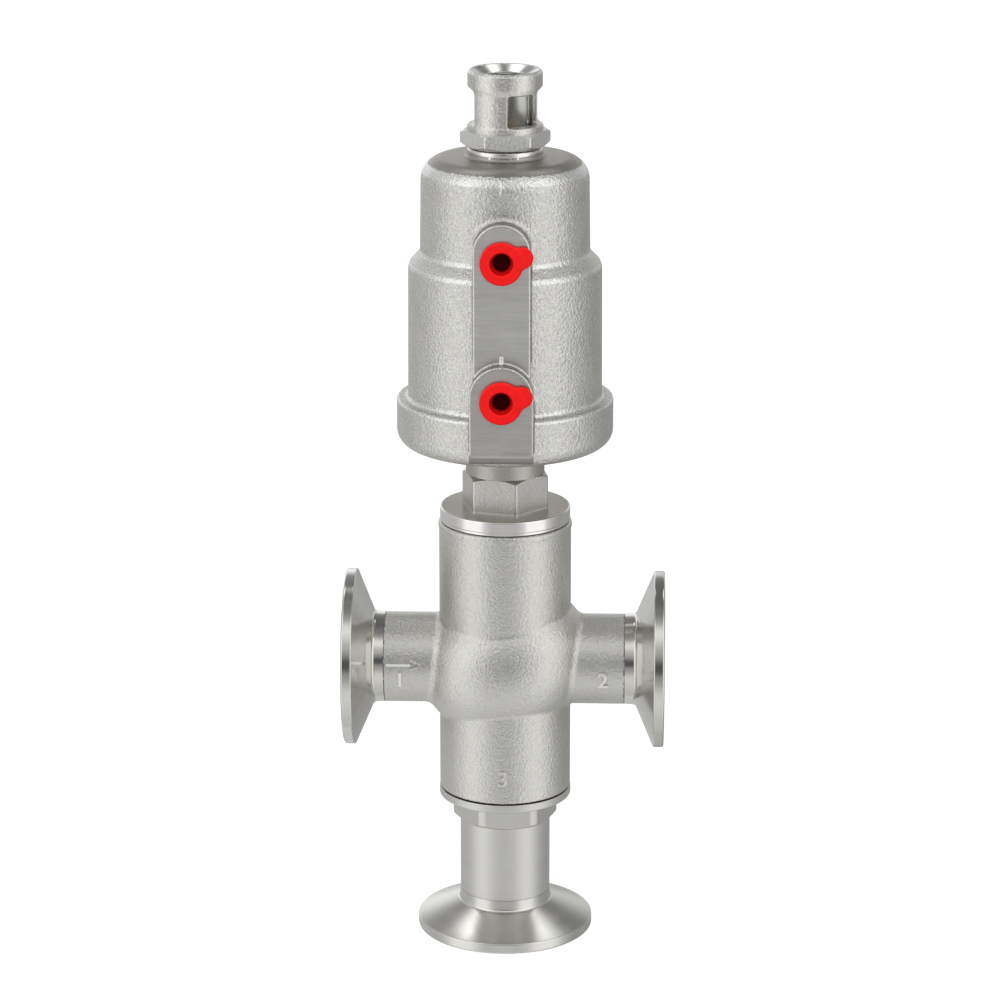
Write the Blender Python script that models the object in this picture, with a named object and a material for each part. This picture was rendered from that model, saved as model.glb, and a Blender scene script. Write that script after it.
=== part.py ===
"""Three-way pneumatic seat valve with clamp ferrules and a spring-return piston actuator.

Frame: metres, +Z up along the stem. The origin is the centre of the bottom port's face,
+X points to the right-hand port, and the air ports of the actuator face -Y.
"""

import math

import bmesh
import bpy
from mathutils import Matrix, Vector

MM = 0.001

# Fits: the clearance that every seated or touching pair keeps
CLEARANCE = 0.3 * MM

# Clamp ferrules, the same on the three ports
FERRULE_RADIUS = 25.25 * MM
FERRULE_RIM = 3.0 * MM
FERRULE_CONE = 5.2 * MM
FERRULE_NECK = 2.8 * MM
GASKET_GROOVE_INSET = 3.45 * MM
GASKET_GROOVE_DEPTH = 1.3 * MM
PORT_BORE = 9.5 * MM
PORT_WALL = 3.45 * MM

# Lower adaptor: tube, hexagon, flange and the nozzle that carries the lower seat
ADAPTOR_TUBE = 21.8 * MM
ADAPTOR_HEX_PROUD = 0.55 * MM
ADAPTOR_CORNER_PROUD = 2.0 * MM
ADAPTOR_HEX_HEIGHT = 7.6 * MM
ADAPTOR_FLANGE_PROUD = 0.15 * MM
ADAPTOR_FLANGE = 2.4 * MM
ADAPTOR_THREAD = 10.5 * MM
NOZZLE_WALL = 2.5 * MM
NOZZLE_PROUD = 6.4 * MM

# Valve body: cast barrel, side necks, bulge over the seats and the chambers inside
CHAMBER_GAP = 2.5 * MM
THREAD_STEP = 0.8 * MM
BODY_WALL = 3.5 * MM
BODY_LIP = 0.2 * MM
BODY_OVER_PORTS = 15.7 * MM
PORT_RISE = 2.9 * MM
FLOW_WALL = 3.3 * MM
WAY_OVERRUN = 4.0 * MM
WAY_A_DROP = 3.0 * MM
WAY_A_LIFT = 0.8 * MM
WAY_A_HALF_HEIGHT = 5.2 * MM
WAY_A_NARROWING = 2.0 * MM
WAY_B_NARROWING = 1.2 * MM
WAY_B_EDGE = 0.6 * MM
FACE_TO_AXIS = 45.7 * MM
BULGE_PROUD = 2.3 * MM
BULGE_HALF_HEIGHT = 14.5 * MM
BULGE_TILT = math.radians(11.0)
ROOT_LENGTH = 8.0 * MM
ROOT_FLARE = 6.0 * MM
ROOT_OFFSET = 4.0 * MM
PARTITION = 3.0 * MM
SEAT_STEP = 0.5 * MM
GASKET_STEP = 0.5 * MM
GASKET_DEPTH = 1.0 * MM
GASKET_INSET = 1.1 * MM

# Closing member and stem
STROKE = 8.0 * MM
PLUG_HEIGHT = 7.0 * MM
PLUG_OVERLAP = 2.0 * MM
PLUG_HUB = 2.5 * MM
SEAL_HEIGHT = 2.5 * MM
SEAL_PROUD = 0.8 * MM
STEM_RADIUS = 4.0 * MM
STEM_GUIDE_STEP = 1.0 * MM
STEM_COLLAR_PROUD = 2.5 * MM
STEM_COLLAR = 3.0 * MM
STEM_FOOT = 2.0 * MM
STEM_END = 3.0 * MM
PLUG_NUT_WALL = 2.0 * MM
PLUG_NUT_HEIGHT = 5.0 * MM

# Bonnet with the stem packing
BONNET_INSET = 0.3 * MM
BONNET_DISC = 4.1 * MM
BONNET_HEX_WALL = 1.8 * MM
BONNET_HEX_HEIGHT = 9.9 * MM
BONNET_THREAD = 16.0 * MM
BONNET_NOSE = 9.0 * MM
BONNET_NOSE_WALL = 2.1 * MM
BONNET_SPIGOT_WALL = 1.7 * MM
BONNET_SPIGOT = 11.0 * MM
GUIDE_BUSH_WALL = 1.9 * MM
GUIDE_BUSH_LENGTH = 11.0 * MM
PACKING_WIDTH = 2.2 * MM
PACKING_FLOOR = 2.7 * MM
PACKING_SPRING_LENGTH = 9.0 * MM
PACKING_WIRE = 0.7 * MM
PACKING_WASHER = 1.5 * MM
PACKING_RING_HEIGHT = 2.8 * MM
PACKING_RINGS = 3
GLAND_HEIGHT = 6.0 * MM

# Actuator cover: the neck over the bonnet and the disc that closes the cylinder
COVER_NECK_WALL = 1.65 * MM
COVER_NECK = 8.3 * MM
COVER_STEP = 0.8 * MM
COVER_HUB_WALL = 3.0 * MM
COVER_RING_SHARE = 0.55
COVER_SEAL_OVER_SPIGOT = 2.0 * MM
COVER_THICKNESS = 13.0 * MM
COVER_DISH = 5.0 * MM
O_RING = 2.6 * MM

# Actuator cylinder: foot ring, lower barrel, upper barrel, dome and the two air-port bosses
CYLINDER_BORE = 24.5 * MM
CYLINDER_WALL = 2.8 * MM
FOOT_WALL = 4.9 * MM
FOOT_OVER_COVER = 0.6 * MM
FOOT_ROUND = 4.5 * MM
PISTON_ROOM = 5.1 * MM
SHOULDER_CROWN = 2.0 * MM
UPPER_BARREL = 28.4 * MM
UPPER_BORE_STEP = 3.65 * MM
BARREL_DRAFT = 0.25 * MM
UPPER_WALL = 2.9 * MM
SHOULDER_ROUND = 3.0 * MM
DOME_ROUND = 6.0 * MM
DOME_WALL = 3.4 * MM
LAND_OVER_COLLAR = 0.6 * MM
LAND_HEIGHT = 2.4 * MM
LOWER_BOSS_WIDTH = 17.6 * MM
LOWER_BOSS_PROUD = 5.4 * MM
LOWER_BOSS_FOOT = 1.8 * MM
UPPER_BOSS_WIDTH = 15.8 * MM
UPPER_BOSS_PROUD = 1.4 * MM
UPPER_BOSS_REACH = 14.6 * MM
BOSS_EDGE = 0.9 * MM
LOWER_PORT_RISE = 6.9 * MM
LOWER_PORT_DROP = 9.9 * MM
UPPER_PORT_DROP = 10.6 * MM
AIR_PORT_RADIUS = 4.3 * MM
AIR_PORT_DEPTH = 6.2 * MM
AIR_WAY_RADIUS = 2.4 * MM

# Piston and its parts
PISTON_OVER_COVER = 11.0 * MM
PISTON_HEIGHT = 12.0 * MM
PISTON_SIDE_GAP = 0.8 * MM
PISTON_DISH = 4.0 * MM
PISTON_NUT_WALL = 3.0 * MM
PISTON_NUT_HEIGHT = 5.5 * MM
RING_GROOVE = 2.4 * MM
PISTON_SEAL_BASE = 1.8 * MM
PISTON_SEAL = 3.6 * MM
PISTON_RING_GAP = 1.6 * MM
PISTON_RING = 2.8 * MM
PISTON_RIM = 1.5 * MM
SPRING_WIRE = 1.5 * MM
SPRING_SIDE_GAP = 1.2 * MM
SPRING_TURNS = 5.5

# Position indicator on the dome
CAGE_HEX_PROUD = 0.4 * MM
CAGE_HEX_HEIGHT = 4.5 * MM
CAGE_COLLAR_PROUD = 1.95 * MM
CAGE_COLLAR = 1.8 * MM
CAGE_WALL = 1.15 * MM
CAGE_WINDOW_HEIGHT = 8.8 * MM
CAGE_WINDOW_WIDTH = 10.6 * MM
CAGE_WINDOW_AZIMUTH = math.radians(42.0)
CAGE_RING_HEIGHT = 6.1 * MM
CAGE_SPIGOT_STEP = 2.4 * MM
CAGE_SPIGOT = 6.5 * MM
SIGHT_TUBE_GAP = 1.4 * MM
SIGHT_TUBE_VENT = 1.8 * MM
SIGHT_TUBE_WALL = 1.2 * MM
INDICATOR_HEAD_RADIUS = 4.6 * MM
INDICATOR_HEAD_HEIGHT = 7.5 * MM
INDICATOR_HEAD_SOCKET = 4.0 * MM
INDICATOR_ROD_RADIUS = 2.2 * MM
INDICATOR_SOCKET = 7.0 * MM
INDICATOR_SEAL = 1.8 * MM

# Transport plugs in the air ports
CAP_FLANGE_PROUD = 1.65 * MM
CAP_FLANGE = 1.4 * MM
CAP_STUB = 5.2 * MM
CAP_MOUTH_STEP = 1.0 * MM
CAP_HOLE_STEP = 2.0 * MM
CAP_HOLE_FLOOR = 1.0 * MM
CAP_CONE = 1.2 * MM
CAP_TAB_RADIUS = 3.0 * MM
CAP_TAB_INSET = 0.25 * MM
CAP_TAB_UP = 1.8 * MM

# Hexagon directions, as the azimuth of one corner from +X
ADAPTOR_HEX_TURN = math.radians(6.0)
BONNET_HEX_TURN = math.radians(-13.6)
CAGE_HEX_TURN = math.radians(5.5)

# Facets round a turned piece
COARSE = 12
MEDIUM = 20
CLOSE_STEPS = 24
FINE_STEPS = 32
ARC_STEPS = 3
CHAMFER_LIMIT = 1.3 * MM


# Radii, each from the pieces inside it
PORT_RADIUS = PORT_BORE + PORT_WALL
GASKET_GROOVE_RADIUS = FERRULE_RADIUS - GASKET_GROOVE_INSET
NOZZLE_RADIUS = PORT_BORE + NOZZLE_WALL
CHAMBER_RADIUS = NOZZLE_RADIUS + CHAMBER_GAP
BODY_THREAD_RADIUS = CHAMBER_RADIUS + THREAD_STEP
BODY_RADIUS = BODY_THREAD_RADIUS + BODY_WALL
GASKET_INNER = BODY_THREAD_RADIUS + GASKET_STEP
GASKET_OUTER = BODY_RADIUS - GASKET_INSET
SEAT_BORE = PORT_BORE - SEAT_STEP
PLUG_RADIUS = PORT_BORE + PLUG_OVERLAP
ADAPTOR_HEX_FLATS = 2.0 * (PORT_RADIUS + ADAPTOR_HEX_PROUD)
ADAPTOR_HEX_CORNER = PORT_RADIUS + ADAPTOR_CORNER_PROUD
ADAPTOR_FLANGE_RADIUS = BODY_RADIUS + ADAPTOR_FLANGE_PROUD
STEM_GUIDE_RADIUS = STEM_RADIUS + STEM_GUIDE_STEP
STEM_COLLAR_RADIUS = STEM_RADIUS + STEM_COLLAR_PROUD
STEM_WAY = STEM_GUIDE_RADIUS + CLEARANCE
PLUG_NUT_FLATS = 2.0 * (STEM_RADIUS + PLUG_NUT_WALL)
PISTON_NUT_FLATS = 2.0 * (STEM_RADIUS + PISTON_NUT_WALL)
GUIDE_BUSH_RADIUS = STEM_WAY + GUIDE_BUSH_WALL
BONNET_RADIUS = BODY_RADIUS - BONNET_INSET
BONNET_NOSE_RADIUS = GUIDE_BUSH_RADIUS + CLEARANCE + BONNET_NOSE_WALL
PACKING_CHAMBER = STEM_WAY + PACKING_WIDTH
BONNET_SPIGOT_RADIUS = PACKING_CHAMBER + BONNET_SPIGOT_WALL
BONNET_HEX_FLATS = 2.0 * (BONNET_SPIGOT_RADIUS + BONNET_HEX_WALL)
COVER_NECK_RADIUS = BONNET_SPIGOT_RADIUS + CLEARANCE + COVER_NECK_WALL
COVER_RADIUS = CYLINDER_BORE + COVER_STEP
FOOT_RADIUS = COVER_RADIUS + CLEARANCE + FOOT_WALL
UPPER_BORE = CYLINDER_BORE - UPPER_BORE_STEP
UPPER_BARREL_RADIUS = UPPER_BORE + UPPER_WALL
LOWER_BARREL_RADIUS = CYLINDER_BORE + CYLINDER_WALL
LOWER_FACE = LOWER_BARREL_RADIUS + LOWER_BOSS_PROUD
UPPER_FACE = LOWER_BARREL_RADIUS + UPPER_BOSS_PROUD
SIGHT_TUBE_BORE = INDICATOR_HEAD_RADIUS + SIGHT_TUBE_GAP
SIGHT_TUBE_RADIUS = SIGHT_TUBE_BORE + SIGHT_TUBE_WALL
CAGE_POST_RADIUS = SIGHT_TUBE_RADIUS + CLEARANCE + CAGE_WALL
CAGE_COLLAR_RADIUS = CAGE_POST_RADIUS + CAGE_COLLAR_PROUD
CAGE_HEX_FLATS = 2.0 * (CAGE_COLLAR_RADIUS + CAGE_HEX_PROUD)
CAGE_SPIGOT_RADIUS = CAGE_COLLAR_RADIUS - CAGE_SPIGOT_STEP
LAND_RADIUS = CAGE_COLLAR_RADIUS + LAND_OVER_COLLAR
CAP_FLANGE_RADIUS = AIR_PORT_RADIUS + CAP_FLANGE_PROUD
CAP_MOUTH_RADIUS = AIR_PORT_RADIUS - CAP_MOUTH_STEP
CAP_HOLE_RADIUS = AIR_PORT_RADIUS - CAP_HOLE_STEP
CAP_TAB_RIGHT = CAP_FLANGE_RADIUS - CAP_TAB_INSET

# Heights along the stem, each from the pieces below it
FERRULE_LENGTH = FERRULE_RIM + FERRULE_CONE + FERRULE_NECK
TUBE_BASE = FERRULE_LENGTH + CLEARANCE
ADAPTOR_HEX_BASE = TUBE_BASE + ADAPTOR_TUBE
FLANGE_BASE = ADAPTOR_HEX_BASE + ADAPTOR_HEX_HEIGHT
FLANGE_TOP = FLANGE_BASE + ADAPTOR_FLANGE
BODY_BASE = FLANGE_TOP + CLEARANCE
ADAPTOR_THREAD_TOP = FLANGE_TOP + ADAPTOR_THREAD
LOWER_SEAT = ADAPTOR_THREAD_TOP + NOZZLE_PROUD
PLUG_BASE = LOWER_SEAT + CLEARANCE
PLUG_TOP = PLUG_BASE + PLUG_HEIGHT
UPPER_SEAT = PLUG_TOP + STROKE + CLEARANCE
PORT_AXIS = UPPER_SEAT + PARTITION + PORT_RISE
BODY_TOP = PORT_AXIS + PORT_BORE + BODY_OVER_PORTS + CLEARANCE + BONNET_THREAD
BONNET_BASE = BODY_TOP + CLEARANCE
BONNET_THREAD_BASE = BONNET_BASE - BONNET_THREAD
BONNET_NOSE_BASE = BONNET_THREAD_BASE - BONNET_NOSE
GUIDE_BUSH_TOP = BONNET_NOSE_BASE + GUIDE_BUSH_LENGTH
PACKING_BASE = GUIDE_BUSH_TOP + CLEARANCE + PACKING_FLOOR
BONNET_HEX_BASE = BONNET_BASE + BONNET_DISC
BONNET_HEX_TOP = BONNET_HEX_BASE + BONNET_HEX_HEIGHT
SPIGOT_TOP = BONNET_HEX_TOP + BONNET_SPIGOT
COVER_BASE = BONNET_HEX_TOP + CLEARANCE
FOOT_BASE = COVER_BASE + COVER_NECK
COVER_TOP = FOOT_BASE + COVER_THICKNESS
FOOT_TOP = COVER_TOP + FOOT_OVER_COVER
PISTON_BASE = COVER_TOP + PISTON_OVER_COVER
PISTON_TOP = PISTON_BASE + PISTON_HEIGHT
SHOULDER_INSIDE = PISTON_TOP + STROKE + PISTON_ROOM
SHOULDER_TOP = SHOULDER_INSIDE + CYLINDER_WALL + SHOULDER_CROWN
DOME_TOP = SHOULDER_TOP + UPPER_BARREL
LAND_TOP = DOME_TOP + LAND_HEIGHT
NUT_BASE = PISTON_TOP - PISTON_DISH + CLEARANCE
STEM_TOP = NUT_BASE + PISTON_NUT_HEIGHT + STEM_END
DOME_CEILING = DOME_TOP - DOME_WALL
CAGE_BASE = LAND_TOP + CLEARANCE
CAGE_HEX_TOP = CAGE_BASE + CAGE_HEX_HEIGHT
WINDOW_SILL = CAGE_HEX_TOP + CAGE_COLLAR
WINDOW_TOP = WINDOW_SILL + CAGE_WINDOW_HEIGHT
CAGE_TOP = WINDOW_TOP + CAGE_RING_HEIGHT
INDICATOR_TOP = WINDOW_SILL - CLEARANCE
LOWER_BOSS_BASE = FOOT_BASE + LOWER_BOSS_FOOT
LOWER_PORT = COVER_TOP + LOWER_PORT_RISE
LOWER_BOSS_TOP = LOWER_PORT + LOWER_PORT_DROP
UPPER_BOSS_TOP = SHOULDER_TOP + UPPER_BOSS_REACH
UPPER_PORT = UPPER_BOSS_TOP - UPPER_PORT_DROP


def clear_scene():
    """Remove whatever the scene holds."""
    for item in list(bpy.data.objects):
        bpy.data.objects.remove(item, do_unlink=True)


def finish(name, colour, roughness, metallic):
    """Make a plain Principled material."""
    material = bpy.data.materials.new(name)
    material.use_nodes = True
    shader = material.node_tree.nodes["Principled BSDF"]
    shader.inputs["Base Color"].default_value = (*colour, 1.0)
    shader.inputs["Roughness"].default_value = roughness
    shader.inputs["Metallic"].default_value = metallic
    material.diffuse_color = (*colour, 1.0)
    return material


def add_object(name, bm):
    """Turn a bmesh into an object with outward faces and smooth rounds."""
    bmesh.ops.remove_doubles(bm, verts=bm.verts, dist=1e-6)
    bmesh.ops.recalc_face_normals(bm, faces=bm.faces)
    mesh = bpy.data.meshes.new(name)
    bm.to_mesh(mesh)
    bm.free()
    item = bpy.data.objects.new(name, mesh)
    bpy.context.scene.collection.objects.link(item)
    return item


def dress(item, material):
    """Give a finished piece its material and smooth shading on rounds."""
    item.data.materials.clear()
    item.data.materials.append(material)
    item.data.shade_smooth()
    item.data.set_sharp_from_angle(angle=math.radians(35.0))
    return item


def rounded(outline, closed, steps=ARC_STEPS):
    """Return (radius, height) points: an arc at each named rounding, one facet where it is small."""
    points = []
    count = len(outline)
    for index, corner in enumerate(outline):
        here = Vector(corner[:2])
        inner = closed or 0 < index < count - 1
        if len(corner) == 2 or not inner:
            points.append(here)
            continue
        before = Vector(outline[index - 1][:2]) - here
        after = Vector(outline[(index + 1) % count][:2]) - here
        half = before.angle(after) / 2.0
        reach = min(corner[2] / math.tan(half), 0.49 * before.length, 0.49 * after.length)
        radius = reach * math.tan(half)
        toward = (before.normalized() + after.normalized()).normalized()
        centre = here + toward * (radius / math.sin(half))
        start = here + before.normalized() * reach - centre
        end = here + after.normalized() * reach - centre
        sweep = start.angle_signed(end)
        facets = steps if radius > CHAMFER_LIMIT else 1
        for step in range(facets + 1):
            turn = Matrix.Rotation(-sweep * step / facets, 2)
            points.append(centre + turn @ start)
    return points


def turned(name, outline, segments=MEDIUM, steps=ARC_STEPS):
    """Spin an outline of (radius, height[, rounding]) corners round the Z axis."""
    closed = all(corner[0] > 0.0 for corner in outline)
    bm = bmesh.new()
    ring = [bm.verts.new((point[0], 0.0, point[1])) for point in rounded(outline, closed, steps)]
    pairs = list(zip(ring, ring[1:]))
    if closed:
        pairs.append((ring[-1], ring[0]))
    edges = [bm.edges.new(pair) for pair in pairs]
    bmesh.ops.spin(
        bm, geom=ring + edges, cent=(0.0, 0.0, 0.0), axis=(0.0, 0.0, 1.0),
        angle=2.0 * math.pi, steps=segments, use_merge=True,
    )
    return add_object(name, bm)


def rod(name, radius, base, top, segments=MEDIUM):
    """Make a plain round bar between two heights."""
    return turned(name, [(0.0, base), (radius, base), (radius, top), (0.0, top)], segments)


def sleeve(name, inner, outer, base, top, segments=MEDIUM):
    """Make a plain ring of rectangular section."""
    return turned(name, [(inner, base), (outer, base), (outer, top), (inner, top)], segments)


def o_ring(name, radius, height, thickness, segments=COARSE):
    """Make a round-section ring whose section centre lies at a radius and a height."""
    corners = 6
    outline = []
    for index in range(corners):
        angle = 2.0 * math.pi * index / corners
        outline.append((
            radius + 0.5 * thickness * math.cos(angle),
            height + 0.5 * thickness * math.sin(angle),
        ))
    return turned(name, outline, segments)


def is_closed(mesh):
    """Tell whether every edge of a mesh has two faces."""
    bm = bmesh.new()
    bm.from_mesh(mesh)
    closed = all(len(edge.link_faces) == 2 for edge in bm.edges)
    bm.free()
    return closed


def boolean(target, tool, operation, solver):
    """Return the mesh that a Boolean modifier makes of a target and a tool."""
    modifier = target.modifiers.new(operation.lower(), "BOOLEAN")
    modifier.operation = operation
    modifier.solver = solver
    modifier.object = tool
    evaluated = target.evaluated_get(bpy.context.evaluated_depsgraph_get())
    shaped = bpy.data.meshes.new_from_object(evaluated)
    target.modifiers.remove(modifier)
    return shaped


def combine(target, tool, operation):
    """Apply an exact Boolean, or the manifold one where that leaves an open edge."""
    bpy.context.view_layer.update()
    shaped = boolean(target, tool, operation, "EXACT")
    if not is_closed(shaped):
        shaped = boolean(target, tool, operation, "MANIFOLD")
    target.data = shaped
    bpy.data.objects.remove(tool, do_unlink=True)
    return target


def fuse(target, tool):
    """Join a tool to the target."""
    return combine(target, tool, "UNION")


def cut(target, tool):
    """Cut a tool out of the target."""
    return combine(target, tool, "DIFFERENCE")


def trim(target, tool):
    """Keep only what the target shares with a tool."""
    return combine(target, tool, "INTERSECT")


def hexagon(name, flats, base, top, turn):
    """Make a hexagonal bar with a corner at the given azimuth from +X."""
    bm = bmesh.new()
    place = Matrix.Translation((0.0, 0.0, (base + top) / 2.0))
    place = place @ Matrix.Rotation(turn + math.pi / 2.0, 4, "Z")
    corner_radius = flats / math.sqrt(3.0)
    bmesh.ops.create_cone(
        bm, cap_ends=True, segments=6, radius1=corner_radius, radius2=corner_radius,
        depth=top - base, matrix=place,
    )
    return add_object(name, bm)


def nut(name, flats, bore, base, height):
    """Make a plain hexagonal nut."""
    item = hexagon(name, flats, base, base + height, 0.0)
    return cut(item, rod("nut_bore", bore, base - MM, base + height + MM, COARSE))


def coil(name, radius, wire, base, top, turns, points_per_turn=10):
    """Wind a compression spring whose ends lie flat in their last half turn."""
    low = base + wire
    high = top - wire
    closed = 0.5
    total = turns + 2.0 * closed
    count = round(total * points_per_turn)
    curve = bpy.data.curves.new(name, "CURVE")
    curve.dimensions = "3D"
    curve.bevel_depth = wire
    curve.bevel_resolution = 1
    curve.use_fill_caps = True
    spline = curve.splines.new("POLY")
    spline.points.add(count)
    for index in range(count + 1):
        along = total * index / count
        rise = min(max((along - closed) / turns, 0.0), 1.0)
        angle = 2.0 * math.pi * along
        spot = (radius * math.cos(angle), radius * math.sin(angle), low + (high - low) * rise, 1.0)
        spline.points[index].co = spot
    carrier = bpy.data.objects.new(name + "_path", curve)
    bpy.context.scene.collection.objects.link(carrier)
    bpy.context.view_layer.update()
    evaluated = carrier.evaluated_get(bpy.context.evaluated_depsgraph_get())
    mesh = bpy.data.meshes.new_from_object(evaluated)
    bpy.data.objects.remove(carrier, do_unlink=True)
    bm = bmesh.new()
    bm.from_mesh(mesh)
    bpy.data.meshes.remove(mesh)
    return add_object(name, bm)


def place(item, location, pitch=0.0):
    """Put a piece at a location, turned round the Y axis."""
    item.matrix_world = Matrix.Translation(location) @ Matrix.Rotation(pitch, 4, "Y")
    return item


def joint_frame(name, location):
    """Make the empty that marks a joint's axis and carries its moving pieces."""
    frame = bpy.data.objects.new(name, None)
    frame.location = location
    bpy.context.scene.collection.objects.link(frame)
    bpy.context.view_layer.update()
    return frame


def carry(frame, items):
    """Parent moving pieces to their joint's empty, with their origins on its axis."""
    for item in items:
        item.data.transform(frame.matrix_world.inverted() @ item.matrix_world)
        item.matrix_world = Matrix.Identity(4)
        item.parent = frame


def ferrule(name, steel):
    """Turn one clamp ferrule, its face at height 0 and its neck upwards."""
    groove = GASKET_GROOVE_DEPTH
    outline = [
        (PORT_BORE, 0.0),
        (GASKET_GROOVE_RADIUS - groove, 0.0),
        (GASKET_GROOVE_RADIUS, groove, groove),
        (GASKET_GROOVE_RADIUS + groove, 0.0),
        (FERRULE_RADIUS, 0.0, 0.7 * MM),
        (FERRULE_RADIUS, FERRULE_RIM),
        (PORT_RADIUS + 0.2 * MM, FERRULE_RIM + FERRULE_CONE),
        (PORT_RADIUS, FERRULE_LENGTH),
        (PORT_BORE, FERRULE_LENGTH),
    ]
    return dress(turned(name, outline, FINE_STEPS, 2), steel)


def make_ferrules(steel):
    """Make the ferrules of ports A and B at the sides and of port C below."""
    ferrule("ferrule_c", steel)
    place(ferrule("ferrule_a", steel), (-FACE_TO_AXIS, 0.0, PORT_AXIS), math.pi / 2.0)
    place(ferrule("ferrule_b", steel), (FACE_TO_AXIS, 0.0, PORT_AXIS), -math.pi / 2.0)


def make_lower_adaptor(steel, plastic):
    """Make the screwed adaptor with the lower seat on its nozzle, and its gasket."""
    thread = BODY_THREAD_RADIUS - CLEARANCE
    gasket_floor = FLANGE_TOP - GASKET_DEPTH
    outline = [
        (PORT_BORE, TUBE_BASE),
        (PORT_RADIUS, TUBE_BASE),
        (PORT_RADIUS, FLANGE_BASE + 0.2 * MM),
        (ADAPTOR_FLANGE_RADIUS, FLANGE_BASE, 0.3 * MM),
        (ADAPTOR_FLANGE_RADIUS, FLANGE_TOP, 0.3 * MM),
        (GASKET_OUTER + CLEARANCE, FLANGE_TOP),
        (GASKET_OUTER + CLEARANCE, gasket_floor),
        (GASKET_INNER - CLEARANCE, gasket_floor),
        (GASKET_INNER - CLEARANCE, FLANGE_TOP),
        (thread, FLANGE_TOP),
        (thread, ADAPTOR_THREAD_TOP, 0.8 * MM),
        (NOZZLE_RADIUS, ADAPTOR_THREAD_TOP, 1.0 * MM),
        (NOZZLE_RADIUS, LOWER_SEAT - 1.0 * MM),
        (NOZZLE_RADIUS - 0.8 * MM, LOWER_SEAT, 0.3 * MM),
        (PORT_BORE + 0.5 * MM, LOWER_SEAT, 0.4 * MM),
        (PORT_BORE, LOWER_SEAT - 1.0 * MM),
    ]
    adaptor = turned("lower_adaptor", outline, MEDIUM, 2)
    chamfer = 1.6 * MM
    corner = hexagon(
        "adaptor_hex", ADAPTOR_HEX_FLATS, ADAPTOR_HEX_BASE, FLANGE_BASE + 0.6 * MM, ADAPTOR_HEX_TURN
    )
    turned_down = [
        (0.0, ADAPTOR_HEX_BASE - MM),
        (ADAPTOR_HEX_CORNER - 2.0 * chamfer, ADAPTOR_HEX_BASE - 0.1 * MM),
        (ADAPTOR_HEX_CORNER, ADAPTOR_HEX_BASE + chamfer),
        (ADAPTOR_HEX_CORNER, FLANGE_BASE + MM),
        (0.0, FLANGE_BASE + MM),
    ]
    trim(corner, turned("adaptor_hex_envelope", turned_down, MEDIUM))
    bore = rod("adaptor_hex_bore", PORT_BORE + 1.0 * MM, TUBE_BASE, FLANGE_TOP, MEDIUM)
    fuse(adaptor, cut(corner, bore))
    dress(adaptor, steel)
    gasket = sleeve(
        "adaptor_gasket", GASKET_INNER, GASKET_OUTER,
        gasket_floor + CLEARANCE, FLANGE_TOP, MEDIUM,
    )
    dress(gasket, plastic)


def neck_root(name, side):
    """Make the flared root of a side neck: it grows and shifts along Z towards the barrel."""
    bm = bmesh.new()
    steps = 3
    rings = []
    buried = PORT_RADIUS - CLEARANCE
    outer = BODY_RADIUS + 0.6 * ROOT_LENGTH
    for step in range(steps + 1):
        share = step / steps
        reach = outer - ROOT_LENGTH * share
        half_height = buried + ROOT_FLARE * share
        half_width = buried + 0.3 * ROOT_FLARE * share
        shift = side * ROOT_OFFSET * share
        ring = []
        for index in range(MEDIUM):
            angle = 2.0 * math.pi * index / MEDIUM
            across = half_width * math.cos(angle)
            up = PORT_AXIS + shift + half_height * math.sin(angle)
            ring.append(bm.verts.new((side * reach, across, up)))
        rings.append(ring)
    for low, high in zip(rings, rings[1:]):
        for index in range(MEDIUM):
            after = (index + 1) % MEDIUM
            bm.faces.new((low[index], low[after], high[after], high[index]))
    bm.faces.new(rings[0])
    bm.faces.new(rings[-1])
    return add_object(name, bm)


def bulge():
    """Make the tilted barrel-shaped swelling over the seats."""
    radius = BODY_RADIUS + BULGE_PROUD
    height = BULGE_HALF_HEIGHT / math.sqrt(1.0 - (BODY_RADIUS / radius) ** 2)
    bm = bmesh.new()
    stretch = Matrix.Diagonal((radius, radius, height, 1.0))
    lean = Matrix.Rotation(-BULGE_TILT, 4, "Y")
    bmesh.ops.create_uvsphere(
        bm, u_segments=MEDIUM, v_segments=12, radius=1.0,
        matrix=Matrix.Translation((0.0, 0.0, PORT_AXIS)) @ lean @ stretch,
    )
    return add_object("bulge", bm)


def flow_way(name, start, end, half_width, half_height):
    """Make an oval cutter between two points in the XZ plane."""
    run = Vector(end) - Vector(start)
    item = rod(name, 1.0, 0.0, run.length, COARSE)
    turn = Vector((0.0, 0.0, 1.0)).rotation_difference(run).to_matrix().to_4x4()
    stretch = Matrix.Diagonal((half_height, half_width, 1.0, 1.0))
    item.data.transform(Matrix.Translation(start) @ turn @ stretch)
    return item


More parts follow.
